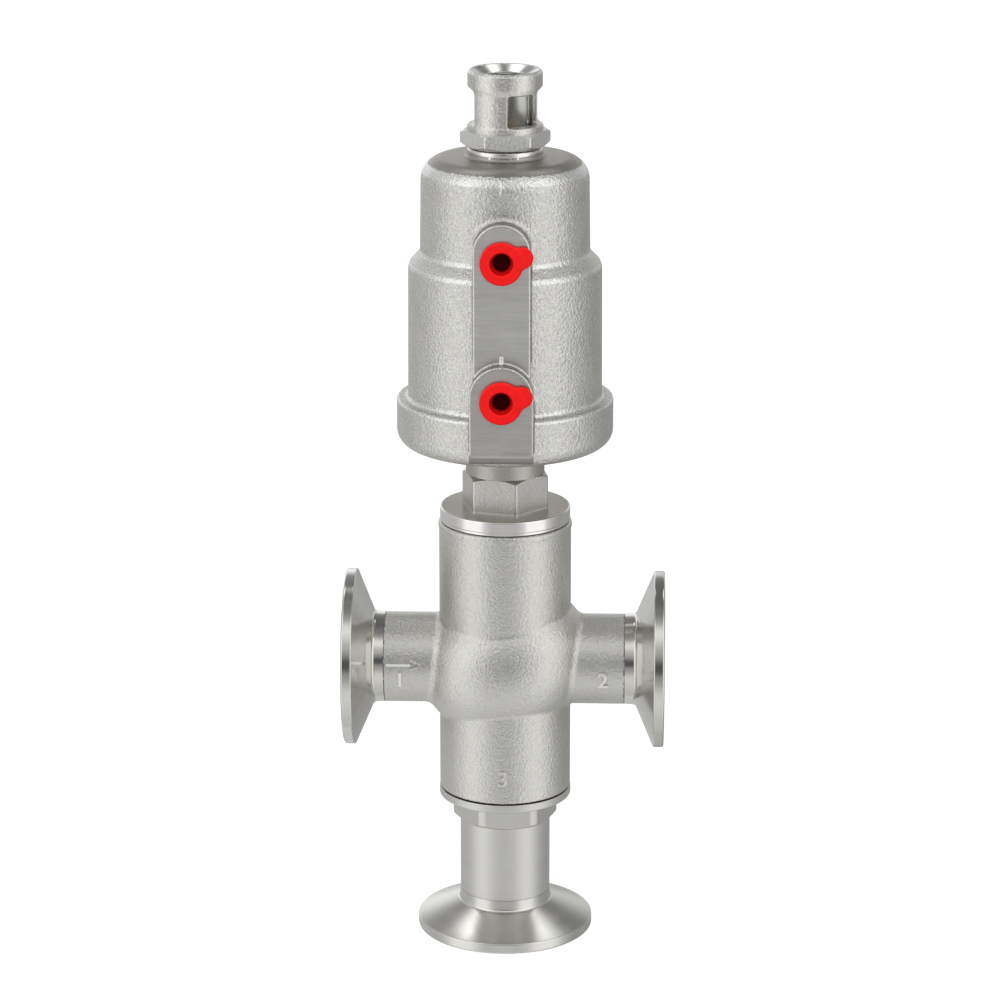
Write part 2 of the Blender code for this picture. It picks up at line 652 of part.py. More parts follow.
def make_valve_body(steel):
    """Cast the body: barrel, bulge and necks outside, chambers, partition and flow ways inside."""
    neck_end = FACE_TO_AXIS - FERRULE_LENGTH - CLEARANCE
    lip = BODY_RADIUS + BODY_LIP
    outline = [
        (0.0, BODY_BASE),
        (BODY_RADIUS, BODY_BASE, 0.5 * MM),
        (BODY_RADIUS, BODY_TOP - 3.0 * MM),
        (lip, BODY_TOP - 1.6 * MM),
        (lip, BODY_TOP, 0.5 * MM),
        (0.0, BODY_TOP),
    ]
    body = turned("valve_body", outline, FINE_STEPS, 2)
    fuse(body, bulge())
    for side in (-1.0, 1.0):
        neck = rod("neck", PORT_RADIUS, 0.0, neck_end, MEDIUM)
        fuse(body, place(neck, (0.0, 0.0, PORT_AXIS), side * math.pi / 2.0))
        fuse(body, neck_root("neck_root", side))
    chambers = [
        (0.0, BODY_BASE - MM),
        (BODY_THREAD_RADIUS, BODY_BASE - MM),
        (BODY_THREAD_RADIUS, ADAPTOR_THREAD_TOP + CLEARANCE),
        (CHAMBER_RADIUS, ADAPTOR_THREAD_TOP + CLEARANCE),
        (CHAMBER_RADIUS, UPPER_SEAT, 1.5 * MM),
        (SEAT_BORE, UPPER_SEAT),
        (SEAT_BORE, UPPER_SEAT + PARTITION),
        (CHAMBER_RADIUS, UPPER_SEAT + PARTITION, 1.5 * MM),
        (CHAMBER_RADIUS, BONNET_THREAD_BASE - CLEARANCE),
        (BODY_THREAD_RADIUS, BONNET_THREAD_BASE - CLEARANCE),
        (BODY_THREAD_RADIUS, BODY_TOP + MM),
        (0.0, BODY_TOP + MM),
    ]
    cut(body, turned("chambers", chambers, MEDIUM, 2))
    bore_end = CHAMBER_RADIUS + FLOW_WALL
    for side in (-1.0, 1.0):
        bore = rod("port_bore", PORT_BORE, bore_end, neck_end + MM, MEDIUM)
        cut(body, place(bore, (0.0, 0.0, PORT_AXIS), side * math.pi / 2.0))
    middle = (ADAPTOR_THREAD_TOP + UPPER_SEAT) / 2.0 + WAY_A_LIFT
    start = (-bore_end - WAY_OVERRUN, 0.0, PORT_AXIS - WAY_A_DROP)
    end = (-CHAMBER_RADIUS + WAY_OVERRUN, 0.0, middle)
    cut(body, flow_way("way_a", start, end, PORT_BORE - WAY_A_NARROWING, WAY_A_HALF_HEIGHT))
    low = UPPER_SEAT + PARTITION + WAY_B_EDGE
    high = PORT_AXIS + PORT_BORE - CLEARANCE
    level = (low + high) / 2.0
    start = (CHAMBER_RADIUS - WAY_OVERRUN, 0.0, level)
    end = (bore_end + WAY_B_EDGE, 0.0, level)
    cut(body, flow_way("way_b", start, end, PORT_BORE - WAY_B_NARROWING, (high - low) / 2.0))
    dress(body, steel)


def make_closing_member(steel, plastic):
    """Make the double-faced plug with its two seat seals and its nut."""
    bore = STEM_RADIUS + CLEARANCE
    low = PLUG_BASE
    high = PLUG_TOP
    groove_inner = STEM_COLLAR_RADIUS + 0.6 * MM
    groove_outer = PLUG_RADIUS - 1.1 * MM
    seal_inner = groove_inner + CLEARANCE
    seal_outer = groove_outer - CLEARANCE
    outline = [
        (bore, low - PLUG_HUB),
        (STEM_COLLAR_RADIUS, low - PLUG_HUB),
        (STEM_COLLAR_RADIUS, low + SEAL_PROUD),
        (groove_inner, low + SEAL_PROUD),
        (groove_inner, low + SEAL_HEIGHT + CLEARANCE),
        (groove_outer, low + SEAL_HEIGHT + CLEARANCE),
        (groove_outer, low + SEAL_PROUD),
        (PLUG_RADIUS, low + SEAL_PROUD),
        (PLUG_RADIUS, high - SEAL_PROUD),
        (groove_outer, high - SEAL_PROUD),
        (groove_outer, high - SEAL_HEIGHT - CLEARANCE),
        (groove_inner, high - SEAL_HEIGHT - CLEARANCE),
        (groove_inner, high - SEAL_PROUD),
        (STEM_COLLAR_RADIUS, high - SEAL_PROUD),
        (STEM_COLLAR_RADIUS, high + PLUG_HUB),
        (bore, high + PLUG_HUB),
    ]
    plug = dress(turned("valve_plug", outline, COARSE), steel)
    lower = sleeve("lower_seat_seal", seal_inner, seal_outer, low, low + SEAL_HEIGHT, COARSE)
    upper = sleeve("upper_seat_seal", seal_inner, seal_outer, high - SEAL_HEIGHT, high, COARSE)
    nut_base = low - PLUG_HUB - CLEARANCE - PLUG_NUT_HEIGHT
    plug_nut = nut("plug_nut", PLUG_NUT_FLATS, bore, nut_base, PLUG_NUT_HEIGHT)
    return [plug, dress(lower, plastic), dress(upper, plastic), dress(plug_nut, steel)]


def make_spindle(steel):
    """Turn the stem: shoulder over the plug, collar under the piston, socket at the top."""
    foot = PLUG_BASE - PLUG_HUB - PLUG_NUT_HEIGHT - STEM_FOOT
    shoulder = PLUG_TOP + PLUG_HUB + CLEARANCE
    collar_base = PISTON_BASE - CLEARANCE - STEM_COLLAR
    shank = STEM_RADIUS
    guide = STEM_GUIDE_RADIUS
    socket = INDICATOR_ROD_RADIUS + CLEARANCE
    outline = [
        (0.0, foot),
        (shank, foot, 0.5 * MM),
        (shank, shoulder),
        (guide, shoulder, 0.3 * MM),
        (guide, collar_base),
        (STEM_COLLAR_RADIUS, collar_base, 0.3 * MM),
        (STEM_COLLAR_RADIUS, collar_base + STEM_COLLAR),
        (shank, collar_base + STEM_COLLAR),
        (shank, STEM_TOP, 0.4 * MM),
        (socket, STEM_TOP),
        (socket, STEM_TOP - INDICATOR_SOCKET),
        (0.0, STEM_TOP - INDICATOR_SOCKET),
    ]
    return dress(turned("spindle", outline, COARSE, 2), steel)


def make_bonnet(steel, bush_plastic, plastic):
    """Make the screwed bonnet, its gasket and the guide bush in its nose."""
    bush_bore = GUIDE_BUSH_RADIUS + CLEARANCE
    bush_ceiling = GUIDE_BUSH_TOP + CLEARANCE
    thread = BODY_THREAD_RADIUS - CLEARANCE
    gasket_ceiling = BONNET_BASE + GASKET_DEPTH
    outline = [
        (bush_bore, BONNET_NOSE_BASE),
        (BONNET_NOSE_RADIUS, BONNET_NOSE_BASE, 0.8 * MM),
        (BONNET_NOSE_RADIUS, BONNET_THREAD_BASE, 0.8 * MM),
        (thread, BONNET_THREAD_BASE, 0.8 * MM),
        (thread, BONNET_BASE),
        (GASKET_INNER - CLEARANCE, BONNET_BASE),
        (GASKET_INNER - CLEARANCE, gasket_ceiling),
        (GASKET_OUTER + CLEARANCE, gasket_ceiling),
        (GASKET_OUTER + CLEARANCE, BONNET_BASE),
        (BONNET_RADIUS - 0.2 * MM, BONNET_BASE),
        (BONNET_RADIUS - 0.2 * MM, BONNET_BASE + 0.8 * MM),
        (BONNET_RADIUS, BONNET_BASE + 1.0 * MM),
        (BONNET_RADIUS, BONNET_HEX_BASE, 0.4 * MM),
        (BONNET_SPIGOT_RADIUS, BONNET_HEX_BASE),
        (BONNET_SPIGOT_RADIUS, SPIGOT_TOP, 0.6 * MM),
        (PACKING_CHAMBER, SPIGOT_TOP),
        (PACKING_CHAMBER, PACKING_BASE),
        (STEM_WAY, PACKING_BASE),
        (STEM_WAY, bush_ceiling),
        (bush_bore, bush_ceiling),
    ]
    bonnet = turned("bonnet", outline, MEDIUM, 2)
    corner_radius = BONNET_HEX_FLATS / math.sqrt(3.0)
    corner = hexagon(
        "bonnet_hex", BONNET_HEX_FLATS, BONNET_HEX_BASE - 0.5 * MM, BONNET_HEX_TOP, BONNET_HEX_TURN
    )
    envelope = [
        (0.0, BONNET_HEX_BASE - MM),
        (corner_radius + 2.0 * MM, BONNET_HEX_BASE - MM),
        (corner_radius, BONNET_HEX_BASE + 1.2 * MM),
        (corner_radius, BONNET_HEX_TOP - 2.1 * MM),
        (COVER_NECK_RADIUS + 0.1 * MM, BONNET_HEX_TOP + 0.1 * MM),
        (0.0, BONNET_HEX_TOP + MM),
    ]
    trim(corner, turned("bonnet_hex_envelope", envelope, MEDIUM))
    bore = rod("bonnet_hex_bore", PACKING_CHAMBER + 0.8 * MM, BONNET_BASE, SPIGOT_TOP, MEDIUM)
    fuse(bonnet, cut(corner, bore))
    dress(bonnet, steel)
    gasket = sleeve(
        "bonnet_gasket", GASKET_INNER, GASKET_OUTER,
        BONNET_BASE, gasket_ceiling - CLEARANCE, MEDIUM,
    )
    dress(gasket, plastic)
    bush = sleeve(
        "guide_bush", STEM_WAY, GUIDE_BUSH_RADIUS, BONNET_NOSE_BASE, GUIDE_BUSH_TOP, COARSE
    )
    dress(bush, bush_plastic)


def make_packing(steel, spring_steel, plastic):
    """Stack the sprung chevron packing in the bonnet, from the spring up to the gland."""
    inner = STEM_WAY
    outer = PACKING_CHAMBER - CLEARANCE
    middle = (inner + outer) / 2.0
    level = PACKING_BASE + CLEARANCE
    spring = coil(
        "packing_spring", middle, PACKING_WIRE, level, level + PACKING_SPRING_LENGTH, 3.0, 10
    )
    dress(spring, spring_steel)
    level += PACKING_SPRING_LENGTH + CLEARANCE
    support = sleeve("packing_washer", inner, outer, level, level + PACKING_WASHER, COARSE)
    dress(support, steel)
    level += PACKING_WASHER + CLEARANCE
    peak = 0.35 * PACKING_RING_HEIGHT
    for index in range(PACKING_RINGS):
        top = level + PACKING_RING_HEIGHT
        outline = [
            (inner, level),
            (middle, level + peak),
            (outer, level),
            (outer, top),
            (middle, top + peak),
            (inner, top),
        ]
        dress(turned("packing_ring_%d" % (index + 1), outline, COARSE), plastic)
        level = top + CLEARANCE
    gland_top = level + GLAND_HEIGHT
    outline = [
        (inner, level),
        (middle, level + peak),
        (outer, level),
        (outer, gland_top),
        (inner, gland_top),
    ]
    dress(turned("gland_nut", outline, COARSE), steel)


def make_cover(steel, rubber):
    """Make the actuator cover with its neck, and the rings that seal it."""
    spigot = BONNET_SPIGOT_RADIUS + CLEARANCE
    shaft = STEM_WAY
    spigot_depth = SPIGOT_TOP + CLEARANCE
    ring_low = FOOT_BASE + COVER_RING_SHARE * COVER_THICKNESS
    ring_high = ring_low + O_RING + 2.0 * CLEARANCE
    ring_floor = COVER_RADIUS - O_RING
    seal_low = spigot_depth + COVER_SEAL_OVER_SPIGOT
    seal_high = seal_low + O_RING + 2.0 * CLEARANCE
    seal_floor = shaft + O_RING
    dish = COVER_TOP - COVER_DISH
    hub = seal_floor + COVER_HUB_WALL
    outline = [
        (spigot, COVER_BASE),
        (COVER_NECK_RADIUS, COVER_BASE),
        (COVER_NECK_RADIUS, FOOT_BASE + CLEARANCE, 1.2 * MM),
        (COVER_RADIUS, FOOT_BASE + CLEARANCE, 0.5 * MM),
        (COVER_RADIUS, ring_low),
        (ring_floor, ring_low),
        (ring_floor, ring_high),
        (COVER_RADIUS, ring_high),
        (COVER_RADIUS, COVER_TOP),
        (COVER_RADIUS - 5.0 * MM, COVER_TOP),
        (COVER_RADIUS - 6.0 * MM, dish),
        (hub, dish),
        (hub, COVER_TOP),
        (shaft, COVER_TOP),
        (shaft, seal_high),
        (seal_floor, seal_high),
        (seal_floor, seal_low),
        (shaft, seal_low),
        (shaft, spigot_depth),
        (spigot, spigot_depth),
    ]
    dress(turned("actuator_cover", outline, CLOSE_STEPS, 2), steel)
    section = O_RING - 2.0 * CLEARANCE
    outer = o_ring(
        "cover_o_ring", ring_floor + O_RING / 2.0, (ring_low + ring_high) / 2.0, section, MEDIUM
    )
    dress(outer, rubber)
    stem = o_ring("stem_o_ring", shaft + O_RING / 2.0, (seal_low + seal_high) / 2.0, section)
    dress(stem, rubber)


def arch_boss(name, width, base, top, face, back):
    """Make a boss with an arched top and a flat face at y = -face, its front edges rounded."""
    half = width / 2.0
    spring_line = top - half
    corner = 2.0 * MM
    bm = bmesh.new()
    outline = []
    steps = 10
    for step in range(steps + 1):
        angle = math.pi * step / steps
        outline.append((half * math.cos(angle), spring_line + half * math.sin(angle)))
    outline += [(-half, base + corner), (-half + corner, base), (half - corner, base)]
    outline.append((half, base + corner))
    front = [bm.verts.new((x, -face, z)) for x, z in outline]
    plate = bm.faces.new(front)
    extruded = bmesh.ops.extrude_face_region(bm, geom=[plate])
    moved = [part for part in extruded["geom"] if isinstance(part, bmesh.types.BMVert)]
    bmesh.ops.translate(bm, vec=(0.0, face - back, 0.0), verts=moved)
    bmesh.ops.recalc_face_normals(bm, faces=bm.faces)
    rim = [
        edge for edge in bm.edges
        if all(abs(vert.co.y + face) < 1e-7 for vert in edge.verts)
    ]
    bmesh.ops.bevel(bm, geom=rim, offset=BOSS_EDGE, segments=2, profile=0.5, affect="EDGES")
    return add_object(name, bm)


def air_port(target, face, height, inner_reach):
    """Drill a tapped air port into a boss face and its narrow way into the cylinder."""
    half_facet = Matrix.Rotation(math.pi / COARSE, 4, "Z")
    stand = Matrix.Translation((0.0, 0.0, height)) @ Matrix.Rotation(math.pi / 2.0, 4, "X")
    stand = stand @ half_facet
    wide = rod("air_port", AIR_PORT_RADIUS, face - AIR_PORT_DEPTH, face + MM, COARSE)
    wide.data.transform(stand)
    cut(target, wide)
    narrow = rod("air_way", AIR_WAY_RADIUS, inner_reach, face - AIR_PORT_DEPTH + 0.2 * MM, 16)
    narrow.data.transform(stand)
    cut(target, narrow)


def make_cylinder(steel):
    """Cast the stepped cylinder with its foot ring, dome, top land and air-port column."""
    lower = LOWER_BARREL_RADIUS
    upper = UPPER_BARREL_RADIUS
    spigot = CAGE_SPIGOT_RADIUS + CLEARANCE
    step_height = COVER_TOP + CLEARANCE
    outline = [
        (COVER_RADIUS + CLEARANCE, FOOT_BASE),
        (FOOT_RADIUS, FOOT_BASE, FOOT_ROUND),
        (FOOT_RADIUS, FOOT_TOP, 2.0 * MM),
        (lower, FOOT_TOP, 0.9 * MM),
        (lower - BARREL_DRAFT, SHOULDER_TOP, SHOULDER_ROUND),
        (upper, SHOULDER_TOP, 0.9 * MM),
        (upper - 1.6 * BARREL_DRAFT, DOME_TOP - 0.6 * MM, DOME_ROUND),
        (LAND_RADIUS, DOME_TOP),
        (LAND_RADIUS, LAND_TOP, 0.4 * MM),
        (spigot, LAND_TOP),
        (spigot, DOME_CEILING - 1.5 * MM),
        (spigot + 3.0 * MM, DOME_CEILING - 1.5 * MM, 0.5 * MM),
        (spigot + 3.5 * MM, DOME_CEILING, 0.5 * MM),
        (UPPER_BORE, DOME_CEILING, 3.0 * MM),
        (UPPER_BORE, SHOULDER_INSIDE, 1.0 * MM),
        (CYLINDER_BORE, SHOULDER_INSIDE, 1.5 * MM),
        (CYLINDER_BORE, step_height),
        (COVER_RADIUS + CLEARANCE, step_height),
    ]
    cylinder = turned("actuator_cylinder", outline, FINE_STEPS, 2)
    sunk = CYLINDER_WALL / 2.0
    column_base = LOWER_PORT + AIR_PORT_RADIUS + MM
    column = arch_boss(
        "upper_boss", UPPER_BOSS_WIDTH, column_base, UPPER_BOSS_TOP, UPPER_FACE, UPPER_BORE
    )
    limit = [
        (CYLINDER_BORE + sunk, column_base - MM),
        (LOWER_FACE, column_base - MM),
        (LOWER_FACE, UPPER_BOSS_TOP + MM),
        (UPPER_BORE + sunk, UPPER_BOSS_TOP + MM),
        (UPPER_BORE + sunk, SHOULDER_INSIDE + sunk),
        (CYLINDER_BORE + sunk, SHOULDER_INSIDE - sunk),
    ]
    fuse(cylinder, trim(column, turned("column_limit", limit, FINE_STEPS)))
    boss = arch_boss(
        "lower_boss", LOWER_BOSS_WIDTH, LOWER_BOSS_BASE - MM, LOWER_BOSS_TOP, LOWER_FACE,
        CYLINDER_BORE - MM,
    )
    corner = math.hypot(LOWER_FACE, LOWER_BOSS_WIDTH / 2.0)
    limit = [
        (COVER_RADIUS + 2.0 * sunk, LOWER_BOSS_BASE),
        (corner, LOWER_BOSS_BASE, FOOT_ROUND),
        (corner, LOWER_BOSS_TOP + MM),
        (COVER_RADIUS + sunk, LOWER_BOSS_TOP + MM),
    ]
    fuse(cylinder, trim(boss, turned("boss_limit", limit, FINE_STEPS)))
    air_port(cylinder, LOWER_FACE, LOWER_PORT, CYLINDER_BORE - MM)
    air_port(cylinder, UPPER_FACE, UPPER_PORT, UPPER_BORE - MM)
    dress(cylinder, steel)


def make_piston(steel, rubber, plastic):
    """Make the piston, its lip seal, its guide ring and the nut that holds it on the stem."""
    outer = CYLINDER_BORE - PISTON_SIDE_GAP
    bore = STEM_RADIUS + CLEARANCE
    ring_outer = CYLINDER_BORE - CLEARANCE
    groove = outer - RING_GROOVE
    seal_low = PISTON_BASE + PISTON_SEAL_BASE
    seal_high = seal_low + PISTON_SEAL
    guide_low = seal_high + PISTON_RING_GAP
    guide_high = guide_low + PISTON_RING
    dish = PISTON_TOP - PISTON_DISH
    spring_outer = UPPER_BORE - SPRING_SIDE_GAP
    dish_radius = spring_outer - 2.0 * SPRING_WIRE - PISTON_RIM
    outline = [
        (bore, PISTON_BASE),
        (outer, PISTON_BASE, 0.6 * MM),
        (outer, seal_low),
        (groove, seal_low),
        (groove, seal_high),
        (outer, seal_high),
        (outer, guide_low),
        (groove, guide_low),
        (groove, guide_high),
        (outer, guide_high),
        (outer, PISTON_TOP),
        (dish_radius, PISTON_TOP),
        (dish_radius - 1.0 * MM, dish),
        (bore, dish),
    ]
    piston = dress(turned("piston", outline, CLOSE_STEPS, 1), steel)
    inner = groove + CLEARANCE
    low = seal_low + CLEARANCE
    high = seal_high - CLEARANCE
    lip = [
        (inner, low),
        (ring_outer, low),
        (ring_outer, low + 0.8 * MM),
        (ring_outer - 0.6 * MM, (low + high) / 2.0),
        (ring_outer, high),
        (inner, high),
    ]
    seal = dress(turned("piston_seal", lip, MEDIUM), rubber)
    guide = sleeve(
        "piston_guide_ring", inner, ring_outer, guide_low + CLEARANCE, guide_high - CLEARANCE, MEDIUM
    )
    piston_nut = nut("piston_nut", PISTON_NUT_FLATS, bore, NUT_BASE, PISTON_NUT_HEIGHT)
    return [piston, seal, dress(guide, plastic), dress(piston_nut, steel)]


def make_return_spring(spring_steel):
    """Wind the return spring between the piston and the dome."""
    radius = UPPER_BORE - SPRING_SIDE_GAP - SPRING_WIRE
    spring = coil(
        "return_spring", radius, SPRING_WIRE, PISTON_TOP + CLEARANCE,
        DOME_CEILING - CLEARANCE, SPRING_TURNS,
    )
    dress(spring, spring_steel)


def make_indicator(steel, signal):
    """Make the indicator rod in the stem's socket and the coloured head on it."""
    head_base = INDICATOR_TOP - INDICATOR_HEAD_HEIGHT
    foot = STEM_TOP - INDICATOR_SOCKET + CLEARANCE
    rod_top = head_base + INDICATOR_HEAD_SOCKET
    pin = dress(rod("indicator_rod", INDICATOR_ROD_RADIUS, foot, rod_top, 16), steel)
    socket = INDICATOR_ROD_RADIUS + CLEARANCE
    outline = [
        (0.0, rod_top + CLEARANCE),
        (socket, rod_top + CLEARANCE),
        (socket, head_base),
        (INDICATOR_HEAD_RADIUS, head_base, 0.4 * MM),
        (INDICATOR_HEAD_RADIUS, INDICATOR_TOP, 1.2 * MM),
        (0.0, INDICATOR_TOP),
    ]
    head = dress(turned("indicator_head", outline, COARSE, 2), signal)
    return [pin, head]


def make_cage(steel, rubber, clear):
    """Make the windowed indicator cage, the sight tube inside it and their seals."""
    head_bore = INDICATOR_HEAD_RADIUS + CLEARANCE
    rod_bore = INDICATOR_ROD_RADIUS + CLEARANCE
    tube_bore = SIGHT_TUBE_RADIUS + CLEARANCE
    spigot_base = CAGE_BASE - CAGE_SPIGOT
    head_floor = INDICATOR_TOP - INDICATOR_HEAD_HEIGHT - CLEARANCE
    tube_floor = WINDOW_SILL - 2.6 * MM
    lip_base = CAGE_TOP - 2.2 * MM
    seal_low = spigot_base + 1.2 * MM
    seal_high = seal_low + INDICATOR_SEAL
    outline = [
        (rod_bore, spigot_base),
        (CAGE_SPIGOT_RADIUS, spigot_base, 0.5 * MM),
        (CAGE_SPIGOT_RADIUS, CAGE_BASE),
        (CAGE_COLLAR_RADIUS, CAGE_BASE),
        (CAGE_COLLAR_RADIUS, WINDOW_SILL - 0.2 * MM, 0.6 * MM),
        (CAGE_POST_RADIUS, WINDOW_SILL + 0.9 * MM, 0.4 * MM),
        (CAGE_POST_RADIUS, WINDOW_TOP - 0.6 * MM, 0.6 * MM),
        (CAGE_COLLAR_RADIUS, WINDOW_TOP + 1.0 * MM, 0.5 * MM),
        (CAGE_COLLAR_RADIUS, CAGE_TOP, 0.9 * MM),
        (CAGE_POST_RADIUS + 0.6 * MM, CAGE_TOP, 0.5 * MM),
        (SIGHT_TUBE_RADIUS - 0.8 * MM, lip_base + 0.6 * MM),
        (SIGHT_TUBE_RADIUS - 0.8 * MM, lip_base),
        (tube_bore, lip_base),
        (tube_bore, tube_floor),
        (head_bore, tube_floor),
        (head_bore, head_floor),
        (rod_bore, head_floor),
        (rod_bore, seal_high),
        (rod_bore + INDICATOR_SEAL, seal_high),
        (rod_bore + INDICATOR_SEAL, seal_low),
        (rod_bore, seal_low),
    ]
    cage = turned("indicator_cage", outline, MEDIUM, 2)
    corner_radius = CAGE_HEX_FLATS / math.sqrt(3.0)
    hex_bar = hexagon("cage_hex", CAGE_HEX_FLATS, CAGE_BASE, CAGE_HEX_TOP, CAGE_HEX_TURN)
    chamfer = 1.2 * MM
    envelope = [
        (0.0, CAGE_BASE - 0.2 * MM),
        (corner_radius - 1.6 * chamfer, CAGE_BASE - 0.05 * MM),
        (corner_radius, CAGE_BASE + chamfer),
        (corner_radius, CAGE_HEX_TOP - chamfer),
        (corner_radius - 1.6 * chamfer, CAGE_HEX_TOP + 0.05 * MM),
        (0.0, CAGE_HEX_TOP + 0.2 * MM),
    ]
    trim(hex_bar, turned("cage_hex_envelope", envelope, MEDIUM))
    bore = rod("cage_hex_bore", CAGE_SPIGOT_RADIUS, CAGE_BASE - MM, CAGE_HEX_TOP + MM, MEDIUM)
    fuse(cage, cut(hex_bar, bore))
    bm = bmesh.new()
    size = (4.0 * CAGE_POST_RADIUS, CAGE_WINDOW_WIDTH, CAGE_WINDOW_HEIGHT)
    middle = (0.0, 0.0, (WINDOW_SILL + WINDOW_TOP) / 2.0)
    facing = Matrix.Rotation(CAGE_WINDOW_AZIMUTH - math.pi / 2.0, 4, "Z")
    bmesh.ops.create_cube(
        bm, size=1.0, matrix=Matrix.Translation(middle) @ facing @ Matrix.Diagonal((*size, 1.0))
    )
    along = facing @ Vector((1.0, 0.0, 0.0))
    long_edges = [
        edge for edge in bm.edges
        if abs((edge.verts[1].co - edge.verts[0].co).normalized().dot(along)) > 0.99
    ]
    bmesh.ops.bevel(bm, geom=long_edges, offset=0.8 * MM, segments=2, profile=0.5, affect="EDGES")
    cut(cage, add_object("window", bm))
    dress(cage, steel)
    tube_top = lip_base - CLEARANCE
    outline = [
        (SIGHT_TUBE_BORE, tube_floor + CLEARANCE),
        (SIGHT_TUBE_RADIUS, tube_floor + CLEARANCE),
        (SIGHT_TUBE_RADIUS, tube_top, 0.5 * MM),
        (SIGHT_TUBE_VENT, tube_top),
        (SIGHT_TUBE_VENT, tube_top - SIGHT_TUBE_WALL),
        (SIGHT_TUBE_BORE, tube_top - SIGHT_TUBE_WALL, 0.5 * MM),
    ]
    dress(turned("sight_tube", outline, MEDIUM, 2), clear)
    section = INDICATOR_SEAL - 2.0 * CLEARANCE
    middle = (seal_low + seal_high) / 2.0
    dress(o_ring("indicator_o_ring", rod_bore + INDICATOR_SEAL / 2.0, middle, section), rubber)


def make_port_cap(name, red):
    """Make a push-in transport plug that faces +Z, with its tab to the upper right."""
    stub = AIR_PORT_RADIUS - CLEARANCE
    depth = CAP_STUB - CAP_HOLE_FLOOR
    outline = [
        (0.0, -CAP_STUB),
        (stub - 0.4 * MM, -CAP_STUB, 0.3 * MM),
        (stub, CLEARANCE),
        (CAP_FLANGE_RADIUS, CLEARANCE, 0.3 * MM),
        (CAP_FLANGE_RADIUS, CAP_FLANGE, 0.4 * MM),
        (CAP_MOUTH_RADIUS, CAP_FLANGE, 0.2 * MM),
        (CAP_HOLE_RADIUS, -CAP_CONE),
        (CAP_HOLE_RADIUS, -depth),
        (0.0, -depth),
    ]
    cap = turned(name, outline, COARSE, 2)
    tab = [
        (0.0, 2.0 * CLEARANCE),
        (CAP_TAB_RADIUS, 2.0 * CLEARANCE, 0.3 * MM),
        (CAP_TAB_RADIUS, CAP_FLANGE - 0.1 * MM, 0.4 * MM),
        (0.0, CAP_FLANGE - 0.1 * MM),
    ]
    lobe = turned("cap_tab", tab, 16, 1)
    lobe.data.transform(Matrix.Translation((CAP_TAB_RIGHT, CAP_TAB_UP, 0.0)))
    mouth = CAP_MOUTH_RADIUS + 1.2 * MM
    cut(lobe, rod("tab_limit", mouth, 0.0, CAP_FLANGE + MM, COARSE))
    fuse(cap, lobe)
    cap.data.transform(Matrix.Rotation(math.pi / 2.0, 4, "X"))
    return dress(cap, red)


def make_port_caps(red):
    """Put a transport plug in each air port, its origin on the port's axis."""
    for name, face, height in (
        ("port_plug_upper", UPPER_FACE, UPPER_PORT),
        ("port_plug_lower", LOWER_FACE, LOWER_PORT),
    ):
        frame = joint_frame(name + "_axis", (0.0, -face, height))
        cap = make_port_cap(name, red)
        cap.parent = frame


def main():
    """Build every piece of the valve."""
    clear_scene()
    cast_steel = finish("cast_stainless", (0.62, 0.61, 0.59), 0.38, 1.0)
    turned_steel = finish("turned_stainless", (0.72, 0.71, 0.70), 0.18, 1.0)
    spring_steel = finish("spring_steel", (0.45, 0.45, 0.46), 0.35, 1.0)
    aluminium = finish("piston_aluminium", (0.75, 0.75, 0.76), 0.35, 1.0)
    ptfe = finish("ptfe", (0.86, 0.86, 0.83), 0.45, 0.0)
    bush_plastic = finish("bush_plastic", (0.45, 0.33, 0.20), 0.50, 0.0)
    rubber = finish("rubber", (0.03, 0.03, 0.03), 0.60, 0.0)
    red = finish("red_plastic", (0.85, 0.03, 0.02), 0.35, 0.0)
    clear = finish("clear_plastic", (0.85, 0.90, 0.80), 0.08, 0.0)
    signal = finish("signal_plastic", (0.80, 0.45, 0.03), 0.40, 0.0)

    make_ferrules(turned_steel)
    make_lower_adaptor(turned_steel, ptfe)
    make_valve_body(cast_steel)
    make_bonnet(turned_steel, bush_plastic, ptfe)
    make_packing(turned_steel, spring_steel, ptfe)
    make_cover(cast_steel, rubber)
    make_cylinder(cast_steel)
    make_return_spring(spring_steel)
    make_cage(cast_steel, rubber, clear)

    moving = make_closing_member(turned_steel, ptfe)
    moving.append(make_spindle(turned_steel))
    moving += make_piston(aluminium, rubber, ptfe)
    moving += make_indicator(turned_steel, signal)
    carry(joint_frame("stem_axis", (0.0, 0.0, LOWER_SEAT)), moving)

    make_port_caps(red)
    bpy.context.view_layer.update()


main()
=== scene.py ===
"""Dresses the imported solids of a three-way seat valve for a studio picture.

The makers work in millimetres and the meshes are stored in metres, in the frame of the solids.
"""
import logging
import math
from dataclasses import dataclass
from enum import Enum
from functools import reduce
from itertools import product
from typing import Callable, Dict, List, Optional, Sequence, Tuple, Union

